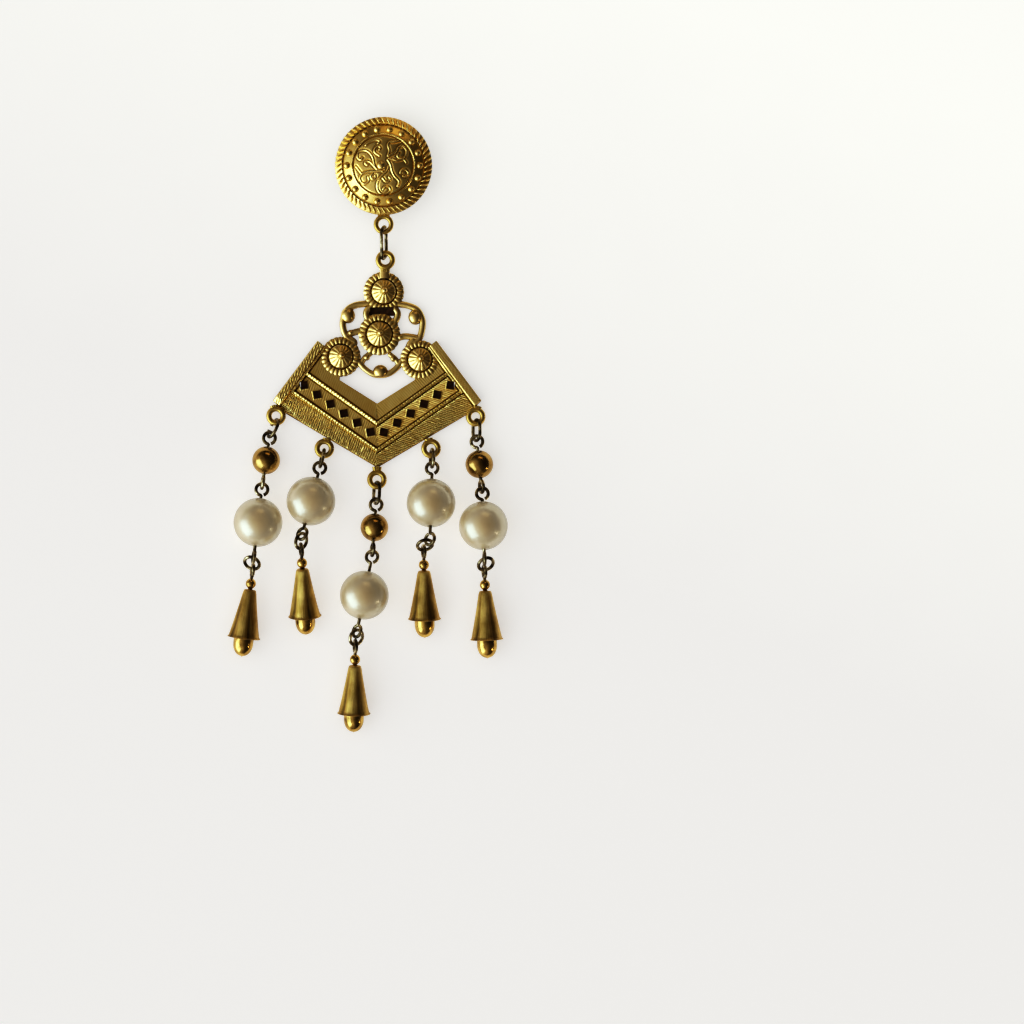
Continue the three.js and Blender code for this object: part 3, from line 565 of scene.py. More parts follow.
def skirt(strand, start, along):
    """The cone: thin sheet whose sharp folds open from its top to its hem."""
    node = strand + "_cone"
    roll = 3.75 + 0.2 * (STRANDS.index(strand) - 2)

    def crease(angle):
        wave = 0.5 - 0.5 * math.cos(FOLDS * angle + roll)
        return 0.75 * wave ** 7 + 0.25 * wave

    def swell(angle, row):
        to_hem = min(max((7.95 - CONE_PROFILE[row][0]) / 1.6, 0.25), 1)
        return 1 - FOLD_DEPTH / CONE_HEM * fold_share(row) ** 0.7 * crease(angle) * 1.6 * to_hem

    # Painted shade: darker in each fold's crease, and darker still inside the cone.
    def patina_and_shade(count):
        shades = []
        for row, side in (divmod(i, CONE_SIDES) for i in range(count)):
            shade = 0.5 * crease(2 * math.pi * side / CONE_SIDES) * fold_share(row) ** 0.4
            shades.append(shade + (0.6 if row > LAST_FOLDED else 0.0))
        return shades

    turned(node + "_skirt", node, cone_gold, CONE_PROFILE, CONE_SIDES,
           start + along * CONE_TOP, along, UP, 60.0, swell, closed=True, patina_and_shade=patina_and_shade)


# Strands

for strand in STRANDS:
    for part in ("upper_ring", "lower_ring"):
        ring(strand + "_" + part, start=90.0 + 75.0 * STRANDS.index(strand))
    if not strand.startswith("inner"):
        axis = eye_pin(strand + "_bead_pin")
        drilled_ball(strand + "_bead", BEAD, axis, bead_gold, 48, 0.16)
    axis = eye_pin(strand + "_pearl_pin")
    drilled_ball(strand + "_pearl", PEARL, axis, pearl_lacquer, 64, 0.1)
    skirt(strand, *tip_pin(strand + "_tip_pin"))
ring("oval_link", start=200.0)


# Cast relief: a height over the plane inside an outline, with upright walls and a flat back

def inner_cells(outline, X, Y, pitch):
    """The grid's cells inside an outline, with those that would meet at one corner joined."""
    inside = np.pad(outline(X[:-1, :-1] + pitch / 2, Y[:-1, :-1] + pitch / 2) < 0, 1)
    a, b, c, d = inside[:-1, :-1], inside[1:, 1:], inside[1:, :-1], inside[:-1, 1:]
    for i, j in np.argwhere((a & b & ~c & ~d) | (~a & ~b & c & d)):
        inside[i:i + 2, j:j + 2] = True
    return inside[1:-1, 1:-1]


def drawn_to_edge(outline, x, y, reach):
    """Points near an outline moved onto it in three goes, by no more than a reach each."""
    step = 0.01
    for _ in range(3):
        gx = (outline(x + step, y) - outline(x - step, y)) / (2 * step)
        gy = (outline(x, y + step) - outline(x, y - step)) / (2 * step)
        move = np.clip(outline(x, y) / np.maximum(gx * gx + gy * gy, 0.2), -reach, reach)
        x, y = x - move * gx, y - move * gy
    return x, y


def relief(node, part, outline, height, box, pitch, material, origin, base=0.0, milled=None):
    """A part of a node. Outline gives the signed distance to the edge and height the top, over
    x and y. Milled gives the coordinates that the cut lines follow, and how deep they are."""
    (x0, y0), (x1, y1) = box
    xs, ys = np.arange(x0, x1 + pitch, pitch), np.arange(y0, y1 + pitch, pitch)
    X, Y = np.meshgrid(xs, ys, indexing="ij")
    middle = inner_cells(outline, X, Y, pitch)
    used = sum(np.pad(middle.astype(int), ((a, 1 - a), (b, 1 - b))) for a in (0, 1) for b in (0, 1))
    number = np.full(X.shape, -1)
    number[used > 0] = np.arange((used > 0).sum())
    px, py = X[used > 0], Y[used > 0]
    edge = used[used > 0] < 4
    px[edge], py[edge] = drawn_to_edge(outline, px[edge], py[edge], pitch * 0.7)
    pz = height(px, py)
    count = len(px)

    # Top, back and the walls along the sides that only one cell has
    i, j = np.argwhere(middle).T
    a, b, c, d = number[i, j], number[i + 1, j], number[i + 1, j + 1], number[i, j + 1]
    top = np.stack([a, b, c, d], axis=1)
    back = top[:, ::-1] + count
    sides = np.concatenate([np.stack([u, v], axis=1) for u, v in ((a, b), (b, c), (c, d), (d, a))])
    keys = sides[:, 0] * count + sides[:, 1]
    lone = ~np.isin(keys, sides[:, 1] * count + sides[:, 0])
    u, v = sides[lone].T
    walls = np.stack([u, u + count, v + count, v], axis=1)
    corners = np.concatenate([np.stack([px, py, pz], axis=1),
                              np.stack([px, py, np.full(count, base)], axis=1)])
    faces = np.concatenate([top, back, walls])

    # Antiquing where lower than 0.3 mm around; painted shade along the edge and on the back,
    # darkening the walls
    around = sum(height(px + dx, py + dy)
                 for dx, dy in ((0.3, 0), (-0.3, 0), (0, 0.3), (0, -0.3))) / 4
    patina_and_shade = np.clip((around - pz) / 0.25, -0.3, 1.0) + np.where(edge, 0.3, 0.0)
    patina_and_shade = np.concatenate([patina_and_shade, np.full(count, 1.0)])
    along, across, depth = milled(px, py) if milled else (px, py, np.zeros(count))
    wrap = np.tile(np.stack([along, across], axis=1), (2, 1))
    depth = np.concatenate([depth, np.zeros(count)])
    dress(mesh_piece(node + "_" + part, corners + origin, faces, material, 48.0, wrap,
                     {"patina_and_shade": patina_and_shade, "milled": depth}), node)


FAR = 1e9  # farther than any edge


def to_segment(start, end, x, y):
    """Distance to the straight line between two points."""
    (ax, ay), (bx, by) = start, end
    t = ((x - ax) * (bx - ax) + (y - ay) * (by - ay)) / ((bx - ax) ** 2 + (by - ay) ** 2 + 1e-12)
    t = np.clip(t, 0, 1)
    return np.hypot(x - ax - t * (bx - ax), y - ay - t * (by - ay))


def path_distance(path, x, y):
    """Distance to the nearest of a path's segments."""
    best = np.full(np.shape(x), FAR)
    for start, end in zip(path[:-1], path[1:]):
        best = np.minimum(best, to_segment(start, end, x, y))
    return best


def polygon(points):
    """Signed distance to a polygon."""
    points = np.asarray(points, dtype=float)
    around = np.vstack([points, points[:1]])

    def distance(x, y):
        inside = np.zeros(np.shape(x), dtype=bool)
        for (ax, ay), (bx, by) in zip(around[:-1], around[1:]):
            crosses = (ay > y) != (by > y)
            with np.errstate(divide="ignore", invalid="ignore"):
                at = ax + (y - ay) * (bx - ax) / (by - ay)
            inside ^= crosses & (x < at)
        best = path_distance(around, x, y)
        return np.where(inside, -best, best)
    return distance


def strokes(path, smooth=6):
    """A smooth path through points, as segments."""
    p = np.asarray(path, dtype=float)
    p = np.vstack([2 * p[0] - p[1], p, 2 * p[-1] - p[-2]])
    out = []
    for i in range(1, len(p) - 2):
        for t in np.arange(smooth) / smooth:
            out.append(0.5 * (2 * p[i] + (p[i + 1] - p[i - 1]) * t
                              + (2 * p[i - 1] - 5 * p[i] + 4 * p[i + 1] - p[i + 2]) * t * t
                              + (3 * p[i] - p[i - 1] - 3 * p[i + 1] + p[i + 2]) * t ** 3))
    return np.array(out + [p[-2]])


def dome(distance, half_width):
    """A rounded rib's height share across its width."""
    return np.sqrt(np.clip(1 - (distance / half_width) ** 2, 0, 1))


def rise(value, width=1.0):
    """Goes from 0 to 1 while a value goes from 0 to a width."""
    return np.clip(value / width, 0, 1)


def fall(value, width=1.0):
    """Goes from 1 to 0 while a value goes from 0 to a width."""
    return np.clip(1 - value / width, 0, 1)


def trace(distance, width):
    """A soft-edged line's share of its depth at a distance from its middle."""
    return np.exp(-(distance / width) ** 2)


# Chevron plate, in millimetres from its V point; the right half is drawn and mirrored

OUTER_END, BAR_CORNER, BAR_HEAD, BAR_INNER = (14.9, -1.7), (17.1, 0.5), (9.75, 10.3), (8.75, 9.55)
NOTCH, MOUTH, POINT = (5.98, 6.9), (6.2, 3.9), (0.0, -10.5)
BAR_WIDTH, BAR_LENGTH = 1.5, 12.3
UPPER_RIDGE = ((0.0, -2.95), (11.7, 5.35))
LOWER_RIDGE = ((0.0, -7.95), (14.2, 1.95))
TOOTH = 0.52  # from tooth to tooth on a ridge
RIB_HALF = 0.28  # half a ridge's width
THIN_HALF = 0.26  # half the width of the plain rib beside the bar
DIAMONDS_A_SIDE, DIAMOND_HALF = 6, 0.65

# Heights over the floor
LOWER_BORDER, UPPER_BORDER, FIELD = 1.58, 1.44, 1.45
RIB_FOOT, RIB_RISE = 1.8, 0.29
BAR_TOP, BAR_BED = 2.12, 1.78

half = [POINT, OUTER_END, BAR_CORNER, BAR_HEAD, BAR_INNER, NOTCH, MOUTH]
plate_edge = polygon(half + [(0.0, 0.0)] + [(-x, y) for x, y in reversed(half[1:])])


def from_line(line, x, y):
    """Distance along a line, and above it."""
    (ax, ay), (bx, by) = line
    size = math.hypot(bx - ax, by - ay)
    ux, uy = (bx - ax) / size, (by - ay) / size
    return (x - ax) * ux + (y - ay) * uy, -(x - ax) * uy + (y - ay) * ux


# The diamonds stand midway between the ridges
row_from, row_to = [((a[0] + b[0]) / 2, (a[1] + b[1]) / 2)
                    for a, b in zip(UPPER_RIDGE, LOWER_RIDGE)]
row_slope = math.atan2(row_to[1] - row_from[1], row_to[0] - row_from[0])
diamonds = [(side * (row_from[0] + share * (row_to[0] - row_from[0])),
             row_from[1] + share * (row_to[1] - row_from[1]), side * row_slope)
            for side in (-1, 1) for share in np.linspace(0.085, 0.93, DIAMONDS_A_SIDE)]


def diamond_distance(x, y):
    """Signed distance to the nearest pierced diamond."""
    best = np.full(np.shape(x), FAR)
    for cx, cy, painted_light_slope in diamonds:
        c, s = math.cos(painted_light_slope + math.pi / 4), math.sin(painted_light_slope + math.pi / 4)
        u, v = (x - cx) * c + (y - cy) * s, -(x - cx) * s + (y - cy) * c
        best = np.minimum(best, np.maximum(np.abs(u), np.abs(v)) - DIAMOND_HALF)
    return best


def plate_outline(x, y):
    """The plate's edge, with the diamonds cut out."""
    return np.maximum(plate_edge(x, y), -diamond_distance(x, y))


def plate_height(x, y):
    """The plate's top: borders, field, toothed ridges, plain rib and end bars."""
    u, left = np.abs(x), x < 0
    t1, s1 = from_line(LOWER_RIDGE, u, y)
    t2, s2 = from_line(UPPER_RIDGE, u, y)
    tb, sb = from_line((BAR_HEAD, BAR_CORNER), u, y)
    te, se = from_line((LOWER_RIDGE[1], UPPER_RIDGE[1]), u, y)
    _, so = from_line((POINT, OUTER_END), u, y)
    _, sc = from_line((OUTER_END, BAR_CORNER), u, y)

    # Borders, and the field with a lip round each diamond
    lower = LOWER_BORDER + 0.14 * rise(so, 2.5) - 0.2 * fall(so, 0.24)
    upper = UPPER_BORDER + np.where(left, 0.1, 0.0) * fall(s2, 2.5)
    field = FIELD + 0.07 * fall(np.abs(diamond_distance(x, y)), 0.16)
    z = np.where(s1 < 0.25, lower, np.where(s2 > -0.25, upper, field))

    # The ridges lean and have teeth, with a groove below each on the right
    for s, reach, t in ((s1 - 0.2, LOWER_RIDGE[1][0], t1), (s2 + 0.28, UPPER_RIDGE[1][0], t2)):
        teeth = 0.5 + 0.5 * np.cos(2 * math.pi * t / TOOTH)
        facet = rise(s + 0.26, 0.44) * rise(RIB_HALF - s, 0.1)
        rib = RIB_FOOT + (RIB_RISE - np.where(left, 0.15, 0.2) * teeth) * facet
        z = np.where((np.abs(s) < RIB_HALF) & (u < reach + 0.3), np.maximum(z, rib), z)
        groove = np.where(left, 0.0, 0.16) * trace(s + 0.36, 0.1)
        z = z - np.where(u < reach, groove, 0.0)

    # The bed beside the bar, and the plain rib along it
    outside = se < -0.05
    flat = np.where(outside & ((s1 > 0.2) | (te < -0.2)), BAR_BED, z)
    z = np.where((sb < 0) & outside & (so > 0.0), np.clip(flat, 1.6, 1.85), z)
    thin = RIB_FOOT + 0.26 * dome(se - 0.2, THIN_HALF)
    z = np.where((np.abs(se - 0.2) < THIN_HALF) & (te > -0.1) & (t2 > 0), np.maximum(z, thin), z)

    # The bar: twilled and sloped on the left, nearly plain on the right
    twill = np.sin(2 * math.pi * (tb * 0.8 + sb * 0.9) / 0.58 + 1.5 * np.sin(1.7 * tb))
    twill = twill * (0.6 + 0.4 * np.sin(2 * math.pi * (tb * 0.5 - 1.1 * sb) / 0.75))
    bar = BAR_TOP + np.where(left, 0.03 * twill + 0.16 * sb / BAR_WIDTH, 0.01 * twill)
    bar = bar - 0.2 * fall(np.minimum(-sb, sb + BAR_WIDTH), 0.18)
    z = np.where((sb > -BAR_WIDTH) & (tb > -0.05) & (tb < BAR_LENGTH), bar, z)

    # The left corner is worn down
    return z - np.where(left & (so > -0.05), 0.5 * fall(sc), 0.0)


def plate_milling(x, y):
    """Cuts across the arms: deep on the lower border, coarse and slanted on the right arm."""
    u, left = np.abs(x), x < 0
    t1, s1 = from_line(LOWER_RIDGE, u, y)
    _, s2 = from_line(UPPER_RIDGE, u, y)
    _, sb = from_line((BAR_HEAD, BAR_CORNER), u, y)
    lower, upper = np.where(left, 1.4, 1.1), np.where(left, 0.1, 0.14)
    band, bar = np.where(left, 0.15, 0.5), np.where(left, 0.25, 0.08)
    depth = np.where(s1 < 0.1, lower, np.where(s2 > 0, upper, band))
    depth = np.where(sb > -BAR_WIDTH - 0.1, bar, depth)
    slant = np.where(left, -0.25, np.where(s2 > 0, 0.1, 0.75))
    return t1 + slant * s1, s1, depth


relief("chevron_plate", "body", plate_outline, plate_height, ((-17.5, -10.9), (17.5, 10.7)), 0.085,
       plate_gold, plate_at, milled=plate_milling)


# Crest, drawn at its places on the photograph

ROSETTES = [(spot(383.5, 291.6), 3.33), (spot(379.2, 334.0), 3.44), (spot(340.4, 356.5), 3.28),
            (spot(419.7, 359.5), 3.24)]
PETALS, FLUTES = 24, 14
SLOT_MIDDLE = spot(381.8, 310.4)


def scroll(*places):
    """A scroll's smooth path through places on the photograph."""
    return strokes([spot(*p) for p in places])


scrolls = [
    (scroll((368, 303), (356, 304.5), (347.5, 309), (343.5, 317), (342.6, 326), (346, 336),
            (352, 341)), 0.52),
    (scroll((398, 303.5), (408, 305.2), (417, 309.5), (421.8, 318), (422.2, 327), (419, 338),
            (411, 344)), 0.52),
    (scroll((346, 335), (351, 333), (358, 331), (364, 331)), 0.5),
    (scroll((419, 338), (411, 336.5), (404, 336), (397, 338)), 0.5),
    (scroll((371, 306), (366, 312), (368, 320), (372, 326)), 0.52),
    (scroll((394, 307), (397.5, 313), (395, 321), (390, 327)), 0.52),
    (scroll((358, 361), (364, 368), (372, 373.5), (380, 375), (389, 373), (397, 367),
            (401, 361)), 0.48),
    (scroll((370, 353), (364.5, 357.5), (361, 363)), 0.42),
    (scroll((390, 354.5), (395, 358.5), (398.5, 364)), 0.42),
    (scroll((349, 338), (354, 342), (352, 347)), 0.5),
    (scroll((413, 340), (409, 345), (411, 350)), 0.5),
]
bulbs = [(spot(347.6, 315.0), 1.15, 1.28), (spot(415.0, 316.8), 1.12, 1.22),
         (spot(380.2, 371.4), 1.2, 1.12)]
curls = [(spot(350.5, 332.5), 0.5), (spot(366.5, 357.2), 0.48), (spot(393.0, 358.4), 0.48),
         (spot(369.0, 322.5), 0.5), (spot(400.0, 337.0), 0.5)]


def rosette_height(x, y, cx, cy, radius):
    """A ring of petals round a low fluted cone with a small knob, set a little off."""
    r, angle = np.hypot(x - cx, y - cy), np.arctan2(y - cy, x - cx)
    kx, ky = x - cx - 0.2, y - cy - 0.18
    rk, ak = np.hypot(kx, ky), np.arctan2(ky, kx)
    inner, knob = 0.6 * radius, 0.48
    petal = np.abs(np.cos(PETALS / 2 * angle)) ** 0.55
    petals = 0.8 + 0.7 * dome(r - 0.73 * radius, 0.32 * radius)
    petals = petals + 0.17 * petal * rise(r - inner, 0.25)
    flute = np.abs(np.cos(FLUTES / 2 * ak)) ** 0.55
    cone = 1.55 + 1.15 * fall(rk, inner * 1.2)
    cone = cone + 0.11 * flute * rise(rk - 0.35, 0.5) * rise(inner - r, 0.15)
    z = np.where(r < inner, cone, petals) - 0.04 * trace(r - inner, 0.12)
    return np.where(rk < knob, np.maximum(z, 2.4 + 0.5 * dome(rk, knob)), z)


def crest_shapes(x, y):
    """Each shape's distance to its edge and its height."""
    for (cx, cy), radius in ROSETTES:
        r, angle = np.hypot(x - cx, y - cy), np.arctan2(y - cy, x - cx)
        scallop = 1 - 0.03 * (1 - np.abs(np.cos(PETALS / 2 * angle)))
        yield r - radius * scallop, rosette_height(x, y, cx, cy, radius)
    for path, radius in scrolls:
        d = path_distance(path, x, y)
        yield d - radius, 0.75 + 0.85 * radius * dome(d, radius * 1.02) + 0.35
    for (cx, cy), rx, ry in bulbs:
        d = np.hypot((x - cx) / rx, (y - cy) / ry)
        yield (d - 1) * rx, 1.0 + 0.95 * dome(d, 1.02)
    for (cx, cy), radius in curls:
        d = np.hypot(x - cx, y - cy)
        yield d - radius, 1.1 + 0.55 * dome(d, radius * 1.02)
    nx, ny = spot(384.4, 272.5)
    neck = np.maximum(np.abs(x - nx) - 0.72 - 0.2 * np.abs(y - ny), np.abs(y - ny) - 0.9)
    yield neck, 1.35 + 0.5 * dome(x - nx, 1.0)


def slot_distance(x, y, half_length, half_height, tilt=0.0):
    """Signed distance to a box at the crest's slot, tilted by a slope."""
    dx, dy = x - SLOT_MIDDLE[0], y - SLOT_MIDDLE[1]
    return np.maximum(np.abs(dx) - half_length, np.abs(dy - tilt * dx) - half_height)


def crest_outline(x, y):
    """The crest's edge, with the slot cut out."""
    whole = np.minimum.reduce([edge for edge, _ in crest_shapes(x, y)])
    return np.maximum(whole, -slot_distance(x, y, 1.95, 0.56, tilt=0.02))


def crest_height(x, y):
    """The highest of the crest's shapes."""
    tops = [np.where(edge < 0.05, top, 0.0) for edge, top in crest_shapes(x, y)]
    return np.maximum(np.maximum.reduce(tops), 0.75)


relief("chevron_plate", "crest", crest_outline, crest_height, ((-10.0, 4.4), (11.0, 22.6)), 0.08,
       crest_gold, plate_at)


# A thin dark strip of painted shade lies at the back of the diamonds and the slot, which are
# cut right through.
# It is a guess, from how dark they look in the photograph over a pale surface.

SHADE_SHEET_REACH = 12.6


def shade_sheet_outline(x, y):
    """A band between the ridges, and a patch behind the slot."""
    u = np.abs(x)
    _, s1 = from_line(LOWER_RIDGE, u, y)
    _, s2 = from_line(UPPER_RIDGE, u, y)
    band = np.maximum.reduce([0.6 - s1, s2 + 0.6, u - SHADE_SHEET_REACH])
    return np.minimum(band, slot_distance(x, y, 2.2, 0.8))


# The strip is painted shade.
relief("chevron_plate", "shade_sheet", shade_sheet_outline, lambda x, y: 0.16 + 0 * x,
       ((-13.0, -7.4), (13.0, 17.5)), 0.2, painted_shade_sheet, plate_at, base=0.03)


# Eyelets

def eyelet(name, place, height, lean, reach):
    """A cast ring on the plate's edge, thickened where it joins. Lean is the way to the plate
    in degrees, and reach how far the neck goes in."""
    turn = math.radians(lean)
    inwards = np.array([math.sin(turn), math.cos(turn), 0.0])
    aside = np.array([math.cos(turn), -math.sin(turn), 0.0])
    middle = plate_at + (*place, height)
    root = middle - (0.0, 0.0, 0.1)
    necks = [[root + r * (inwards + k * aside) for r in (1.1, reach)] for k in (-0.16, 0.0, 0.16)]
    paths = [hoop(middle, EYELET_MIDDLE)] + necks
    piece = wire(name, paths, shaded_loop_gold, radius=EYELET_WIRE, sides=16)
    dress(piece, "chevron_plate")


for name, place, height, lean, reach in (
    ("outer_left", spot(275.8, 415.8), EYELET_HEIGHT, -10, 1.8),
    ("inner_left", spot(324.1, 448.5), EYELET_HEIGHT, 15, 1.75),
    ("centre", spot(376.8, 479.6), EYELET_HEIGHT, 0, 2.15),
    ("inner_right", spot(431.0, 448.5), EYELET_HEIGHT, -15, 1.75),
    ("outer_right", spot(475.6, 416.6), EYELET_HEIGHT, 10, 1.8),
    ("crest", spot(385.3, 260.0), 1.75, 180, 1.9),
):
    eyelet("chevron_plate_eyelet_" + name, place, height, lean, reach)


# Stud disc

DISC = 7.95  # radius
DOME, RIM = 5.1, 6.8  # radii of the domed middle and of the rim's inner edge
disc_low, disc_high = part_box("stud_disc")
DISC_AT = np.array([
    (disc_low[0] + disc_high[0]) / 2 / MM, disc_high[1] / MM - DISC, disc_low[2] / MM])

# Tendrils on the disc, drawn from its middle, 104 units to a millimetre
TENDRIL_UNITS = 104
TENDRILS = [
    [(-4, -112), (-108, -68), (-152, 10), (-168, 99), (-207, 176), (-263, 232), (-340, 254),
     (-412, 232), (-440, 176), (-424, 110), (-374, 93), (-351, 126)],
    [(-108, -79), (-174, 0), (-229, 54), (-285, 65), (-307, 27), (-274, -1), (-246, 21)],
    [(-41, -101), (-152, -101), (-263, -112), (-351, -145), (-396, -212), (-374, -289),
     (-307, -311), (-246, -267), (-251, -200)],
    [(-174, -145), (-213, -189), (-185, -240), (-135, -222), (-130, -178)],
    [(92, -23), (70, -90), (-8, -167), (-74, -245), (-102, -334), (-91, -422), (-30, -489),
     (48, -483), (114, -433), (103, -378), (37, -367), (-2, -411)],
    [(-8, -223), (37, -278), (92, -273), (120, -234), (98, -206)],
    [(75, 88), (125, -1), (147, -101), (192, -190), (247, -245), (269, -289), (242, -356)],
    [(92, 110), (159, 99), (225, 76), (336, 99), (391, 43)],
    [(92, 154), (180, 198), (236, 243), (258, 300), (314, 326), (380, 276), (391, 198), (358, 132),
     (291, 110), (240, 150), (270, 210)],
    [(291, -134), (314, -79), (380, -79), (424, -134), (391, -190), (336, -185)],
    [(80, 154), (103, 243), (80, 331), (103, 387), (180, 398), (269, 420)],
    [(-63, 154), (-130, 198), (-152, 243), (-120, 300), (-74, 318), (-46, 287), (-66, 260)],
    [(-462, -23), (-396, -112), (-360, -150)],
    [(-300, 340), (-220, 400), (-120, 430), (-60, 400), (-90, 370)],
]
tendrils = [strokes([(x / TENDRIL_UNITS, y / TENDRIL_UNITS) for x, y in line], 5)
            for line in TENDRILS]


def disc_outline(x, y):
    """A circle that is a little out of round."""
    angle = np.arctan2(y, x)
    return np.hypot(x, y) - DISC * (1 - 0.006 * np.cos(2 * angle + 0.4))


def disc_height(x, y):
    """The disc's top: rim, sloped ring, wire circles, and the dome with tendrils and boss."""
    r = np.hypot(x, y)
    z = 0.9 + 0.75 * rise(6.7 - r, 1.6)
    z = np.where(r < DOME, 1.6 + 0.8 * (1 - (r / DOME) ** 2), z)
    z = z + 0.12 * trace(r - 5.08, 0.1) - 0.12 * trace(r - 4.88, 0.11)
    z = z + 0.08 * trace(r - 6.66, 0.09) - 0.1 * trace(r - RIM, 0.08)
    z = np.where(r > RIM, 1.2 - 0.6 * (r - RIM) / (DISC - RIM), z)
    near = np.minimum.reduce([path_distance(t, x, y) for t in tendrils])
    line = 0.08 * trace(near, 0.08) - 0.07 * trace(near - 0.22, 0.1)
    z = np.where(r < 4.9, z + line, z)
    from_boss, boss = np.hypot(x + 0.35, y + 0.1), 0.66
    return np.where(from_boss < boss, np.maximum(z, 2.3 + 0.42 * dome(from_boss, boss)), z)


relief("stud_disc", "face", disc_outline, disc_height, ((-8.1, -8.1), (8.1, 8.1)), 0.075,
       disc_gold, DISC_AT)


def ring_of_studs():
    """Geometry Nodes: small rounded studs, stretched and leant, spaced round a circle."""
    tree, given = open_tree("studs on a circle", (
        ("Start", "Geometry"), ("Count", "Int"), ("Circle radius", "Float"),
        ("Stud size", "Vector"), ("Lean", "Float"), ("Middle", "Vector"), ("Finish", "Material")),
        "Studs")
    circle = add(tree, "GeometryNodeMeshCircle", {
        "Vertices": given["Count"], "Radius": given["Circle radius"]})
    stud = add(tree, "GeometryNodeMeshUVSphere", {"Segments": 12, "Rings": 8})
    index = add(tree, "GeometryNodeInputIndex")
    turn = add(tree, "ShaderNodeMath", {0: 2 * math.pi, 1: given["Count"]}, operation="DIVIDE")
    turn = add(tree, "ShaderNodeMath", {0: turn.outputs[0], 1: index.outputs[0], 2: given["Lean"]},
               operation="MULTIPLY_ADD")
    spin = add(tree, "ShaderNodeCombineXYZ", {"Z": turn.outputs[0]})
    spread = add(tree, "GeometryNodeInstanceOnPoints", {
        "Points": circle.outputs[0], "Instance": stud.outputs[0], "Rotation": spin.outputs[0],
        "Scale": given["Stud size"]})
    real = add(tree, "GeometryNodeRealizeInstances", {"Geometry": spread.outputs[0]})
    moved = add(tree, "GeometryNodeSetPosition", {
        "Geometry": real.outputs[0], "Offset": given["Middle"]})
    return close_tree(tree, moved.outputs[0], given["Finish"], "Studs")


STUDDED = ring_of_studs()
for name, count, circle, size, lean, height in (
    ("stud_disc_dots", 18, 5.95, (0.6, 0.6, 0.55), 0.0, 1.2),
    ("stud_disc_rope", 56, 7.3, (0.84, 0.2, 0.44), 0.6, 0.9),
):
    studs = grown(name, bpy.data.meshes.new(name + "_start"), STUDDED, {
        "Count": count, "Circle radius": circle * MM, "Stud size": [s * MM for s in size],
        "Lean": lean, "Middle": [float(v) * MM for v in DISC_AT + np.array([0, 0, height])],
        "Finish": disc_gold})
    dress(studs, "stud_disc")

loop_middle = np.array([DISC_AT[0], DISC_AT[1] - DISC - 1.6, DISC_AT[2] + 0.4])
loop = wire("stud_disc_loop", [hoop(loop_middle, 1.24)], shaded_loop_gold, radius=0.4, sides=16)
dress(loop, "stud_disc")

tab_outline = polygon([(-0.95, 0.2), (0.9, -0.35), (1.15, 1.7), (-1.15, 1.7)])
relief("stud_disc", "tab", tab_outline, lambda x, y: 0.42 + 0.1 * y, ((-1.4, -0.6), (1.4, 2.0)),
       0.1, plate_gold, DISC_AT + np.array([0, -DISC - 0.45, 0.02]))

# The ear clip keeps its solid, and only its finish is new

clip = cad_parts["ear_clip"]
clip.data.materials.clear()
clip.data.materials.append(cast_gold("plain back plating", grain=0.6))


# Floor, light and camera, in metres

def floor(half=1.5):
    """A square of card under everything."""
    mesh = bpy.data.meshes.new("floor")
    corners = [(-half, -half, 0), (half, -half, 0), (half, half, 0), (-half, half, 0)]
    mesh.from_pydata(corners, [], [(0, 1, 2, 3)])
    mesh.materials.append(paper("pale card with painted light"))
    put("floor", mesh)


def lamp(name, place, target, size, power, colour):
    """A rectangular lamp that faces a target."""
    data = bpy.data.lights.new(name, "AREA")
    data.shape = "RECTANGLE"
    data.size, data.size_y = size
    data.energy = power
    data.color = linear(colour)[:3]
    light = put(name, data)
    light.location = place
    light.rotation_euler = (Vector(target) - Vector(place)).to_track_quat("-Z", "Y").to_euler()
    return light


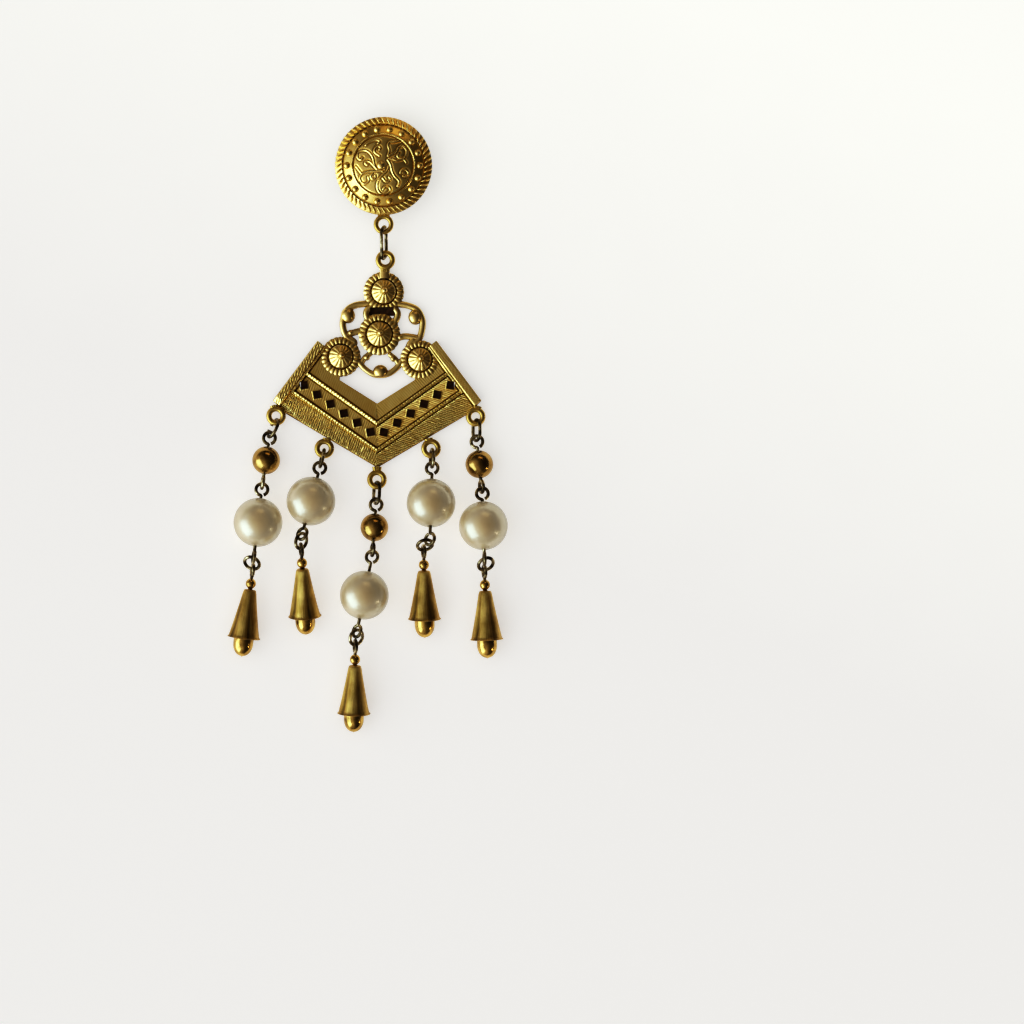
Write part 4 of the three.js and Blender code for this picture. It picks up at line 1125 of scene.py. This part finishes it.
def sky():
    """A room lit from its lower left: bright there, dark behind, with dim furniture shapes."""
    world = bpy.data.worlds.new("room")
    bpy.context.scene.world = world
    world.use_nodes = True
    tree = world.node_tree
    tree.nodes.clear()
    direction = add(tree, "ShaderNodeTexCoord").outputs["Generated"]
    toward = add(tree, "ShaderNodeVectorMath", {0: direction, 1: (-0.83, -0.36, 0.42)},
                 operation="DOT_PRODUCT").outputs["Value"]
    things = add(tree, "ShaderNodeTexNoise", {"Vector": direction, "Scale": 2.6, "Detail": 1.5})
    shade = add(tree, "ShaderNodeMath", {0: things.outputs["Fac"], 1: 0.5, 2: toward},
                operation="MULTIPLY_ADD")
    shade = add(tree, "ShaderNodeMapRange", {
        "Value": shade.outputs[0], "From Min": -0.75, "From Max": 1.25})
    colour = ramp(tree, shade.outputs["Result"], [
        (0.0, "#2C261C"), (0.45, "#3D362B"), (0.66, "#5E574A"), (0.82, "#A8A499"),
        (1.0, "#DADAD8")])
    light = add(tree, "ShaderNodeBackground", {"Color": colour, "Strength": 1.2})
    add(tree, "ShaderNodeOutputWorld", {"Surface": light.outputs["Background"]})


floor()
sky()
centre = (PLATE_X * MM, PLATE_Y * MM, 0.0)
soft_box = lamp("soft box", (centre[0], centre[1], 1.3), centre, (2.2, 2.2), 6.5, "#FAFAFF")
soft_box.visible_glossy = False
for name, toward, away, size, power, colour in (
    ("window", (-0.81, -0.42, 0.42), 0.62, (0.68, 0.5), 3.1, "#C4EAFF"),
    ("warm wall", (0.18, 0.8, 0.55), 0.6, (0.3, 0.14), 0.16, "#FFE2A8"),
    ("right lamp", (0.8, -0.45, 0.22), 0.6, (0.05, 0.08), 0.12, "#FFF0D0"),
):
    place = [c + away * t for c, t in zip(centre, toward)]
    lamp(name, place, centre, size, power, colour).visible_diffuse = False


CAMERA_HEIGHT = 0.6  # over the plane where the photograph's scale holds
SCALE_PLANE = 0.002  # that plane over the floor
SENSOR = 36.0
lens = bpy.data.cameras.new("camera")
lens.sensor_width = SENSOR
lens.lens = SENSOR * CAMERA_HEIGHT / (PICTURE / PIXELS_PER_MM * MM)
camera = put("camera", lens)
across, up = spot(PICTURE / 2, PICTURE / 2)
camera.location = ((PLATE_X + across) * MM, (PLATE_Y + up) * MM, CAMERA_HEIGHT + SCALE_PLANE)
bpy.context.scene.camera = camera


def tone():
    """The photograph's contrast: deep shadows and a soft shoulder, the same for each colour."""
    view = bpy.context.scene.view_settings
    view.view_transform = "Standard"
    view.use_curve_mapping = True
    curve = view.curve_mapping.curves[3]
    for place in ((0.06, 0.026), (0.18, 0.12), (0.4, 0.39), (0.7, 0.74)):
        curve.points.new(*place)
    view.curve_mapping.update()


tone()
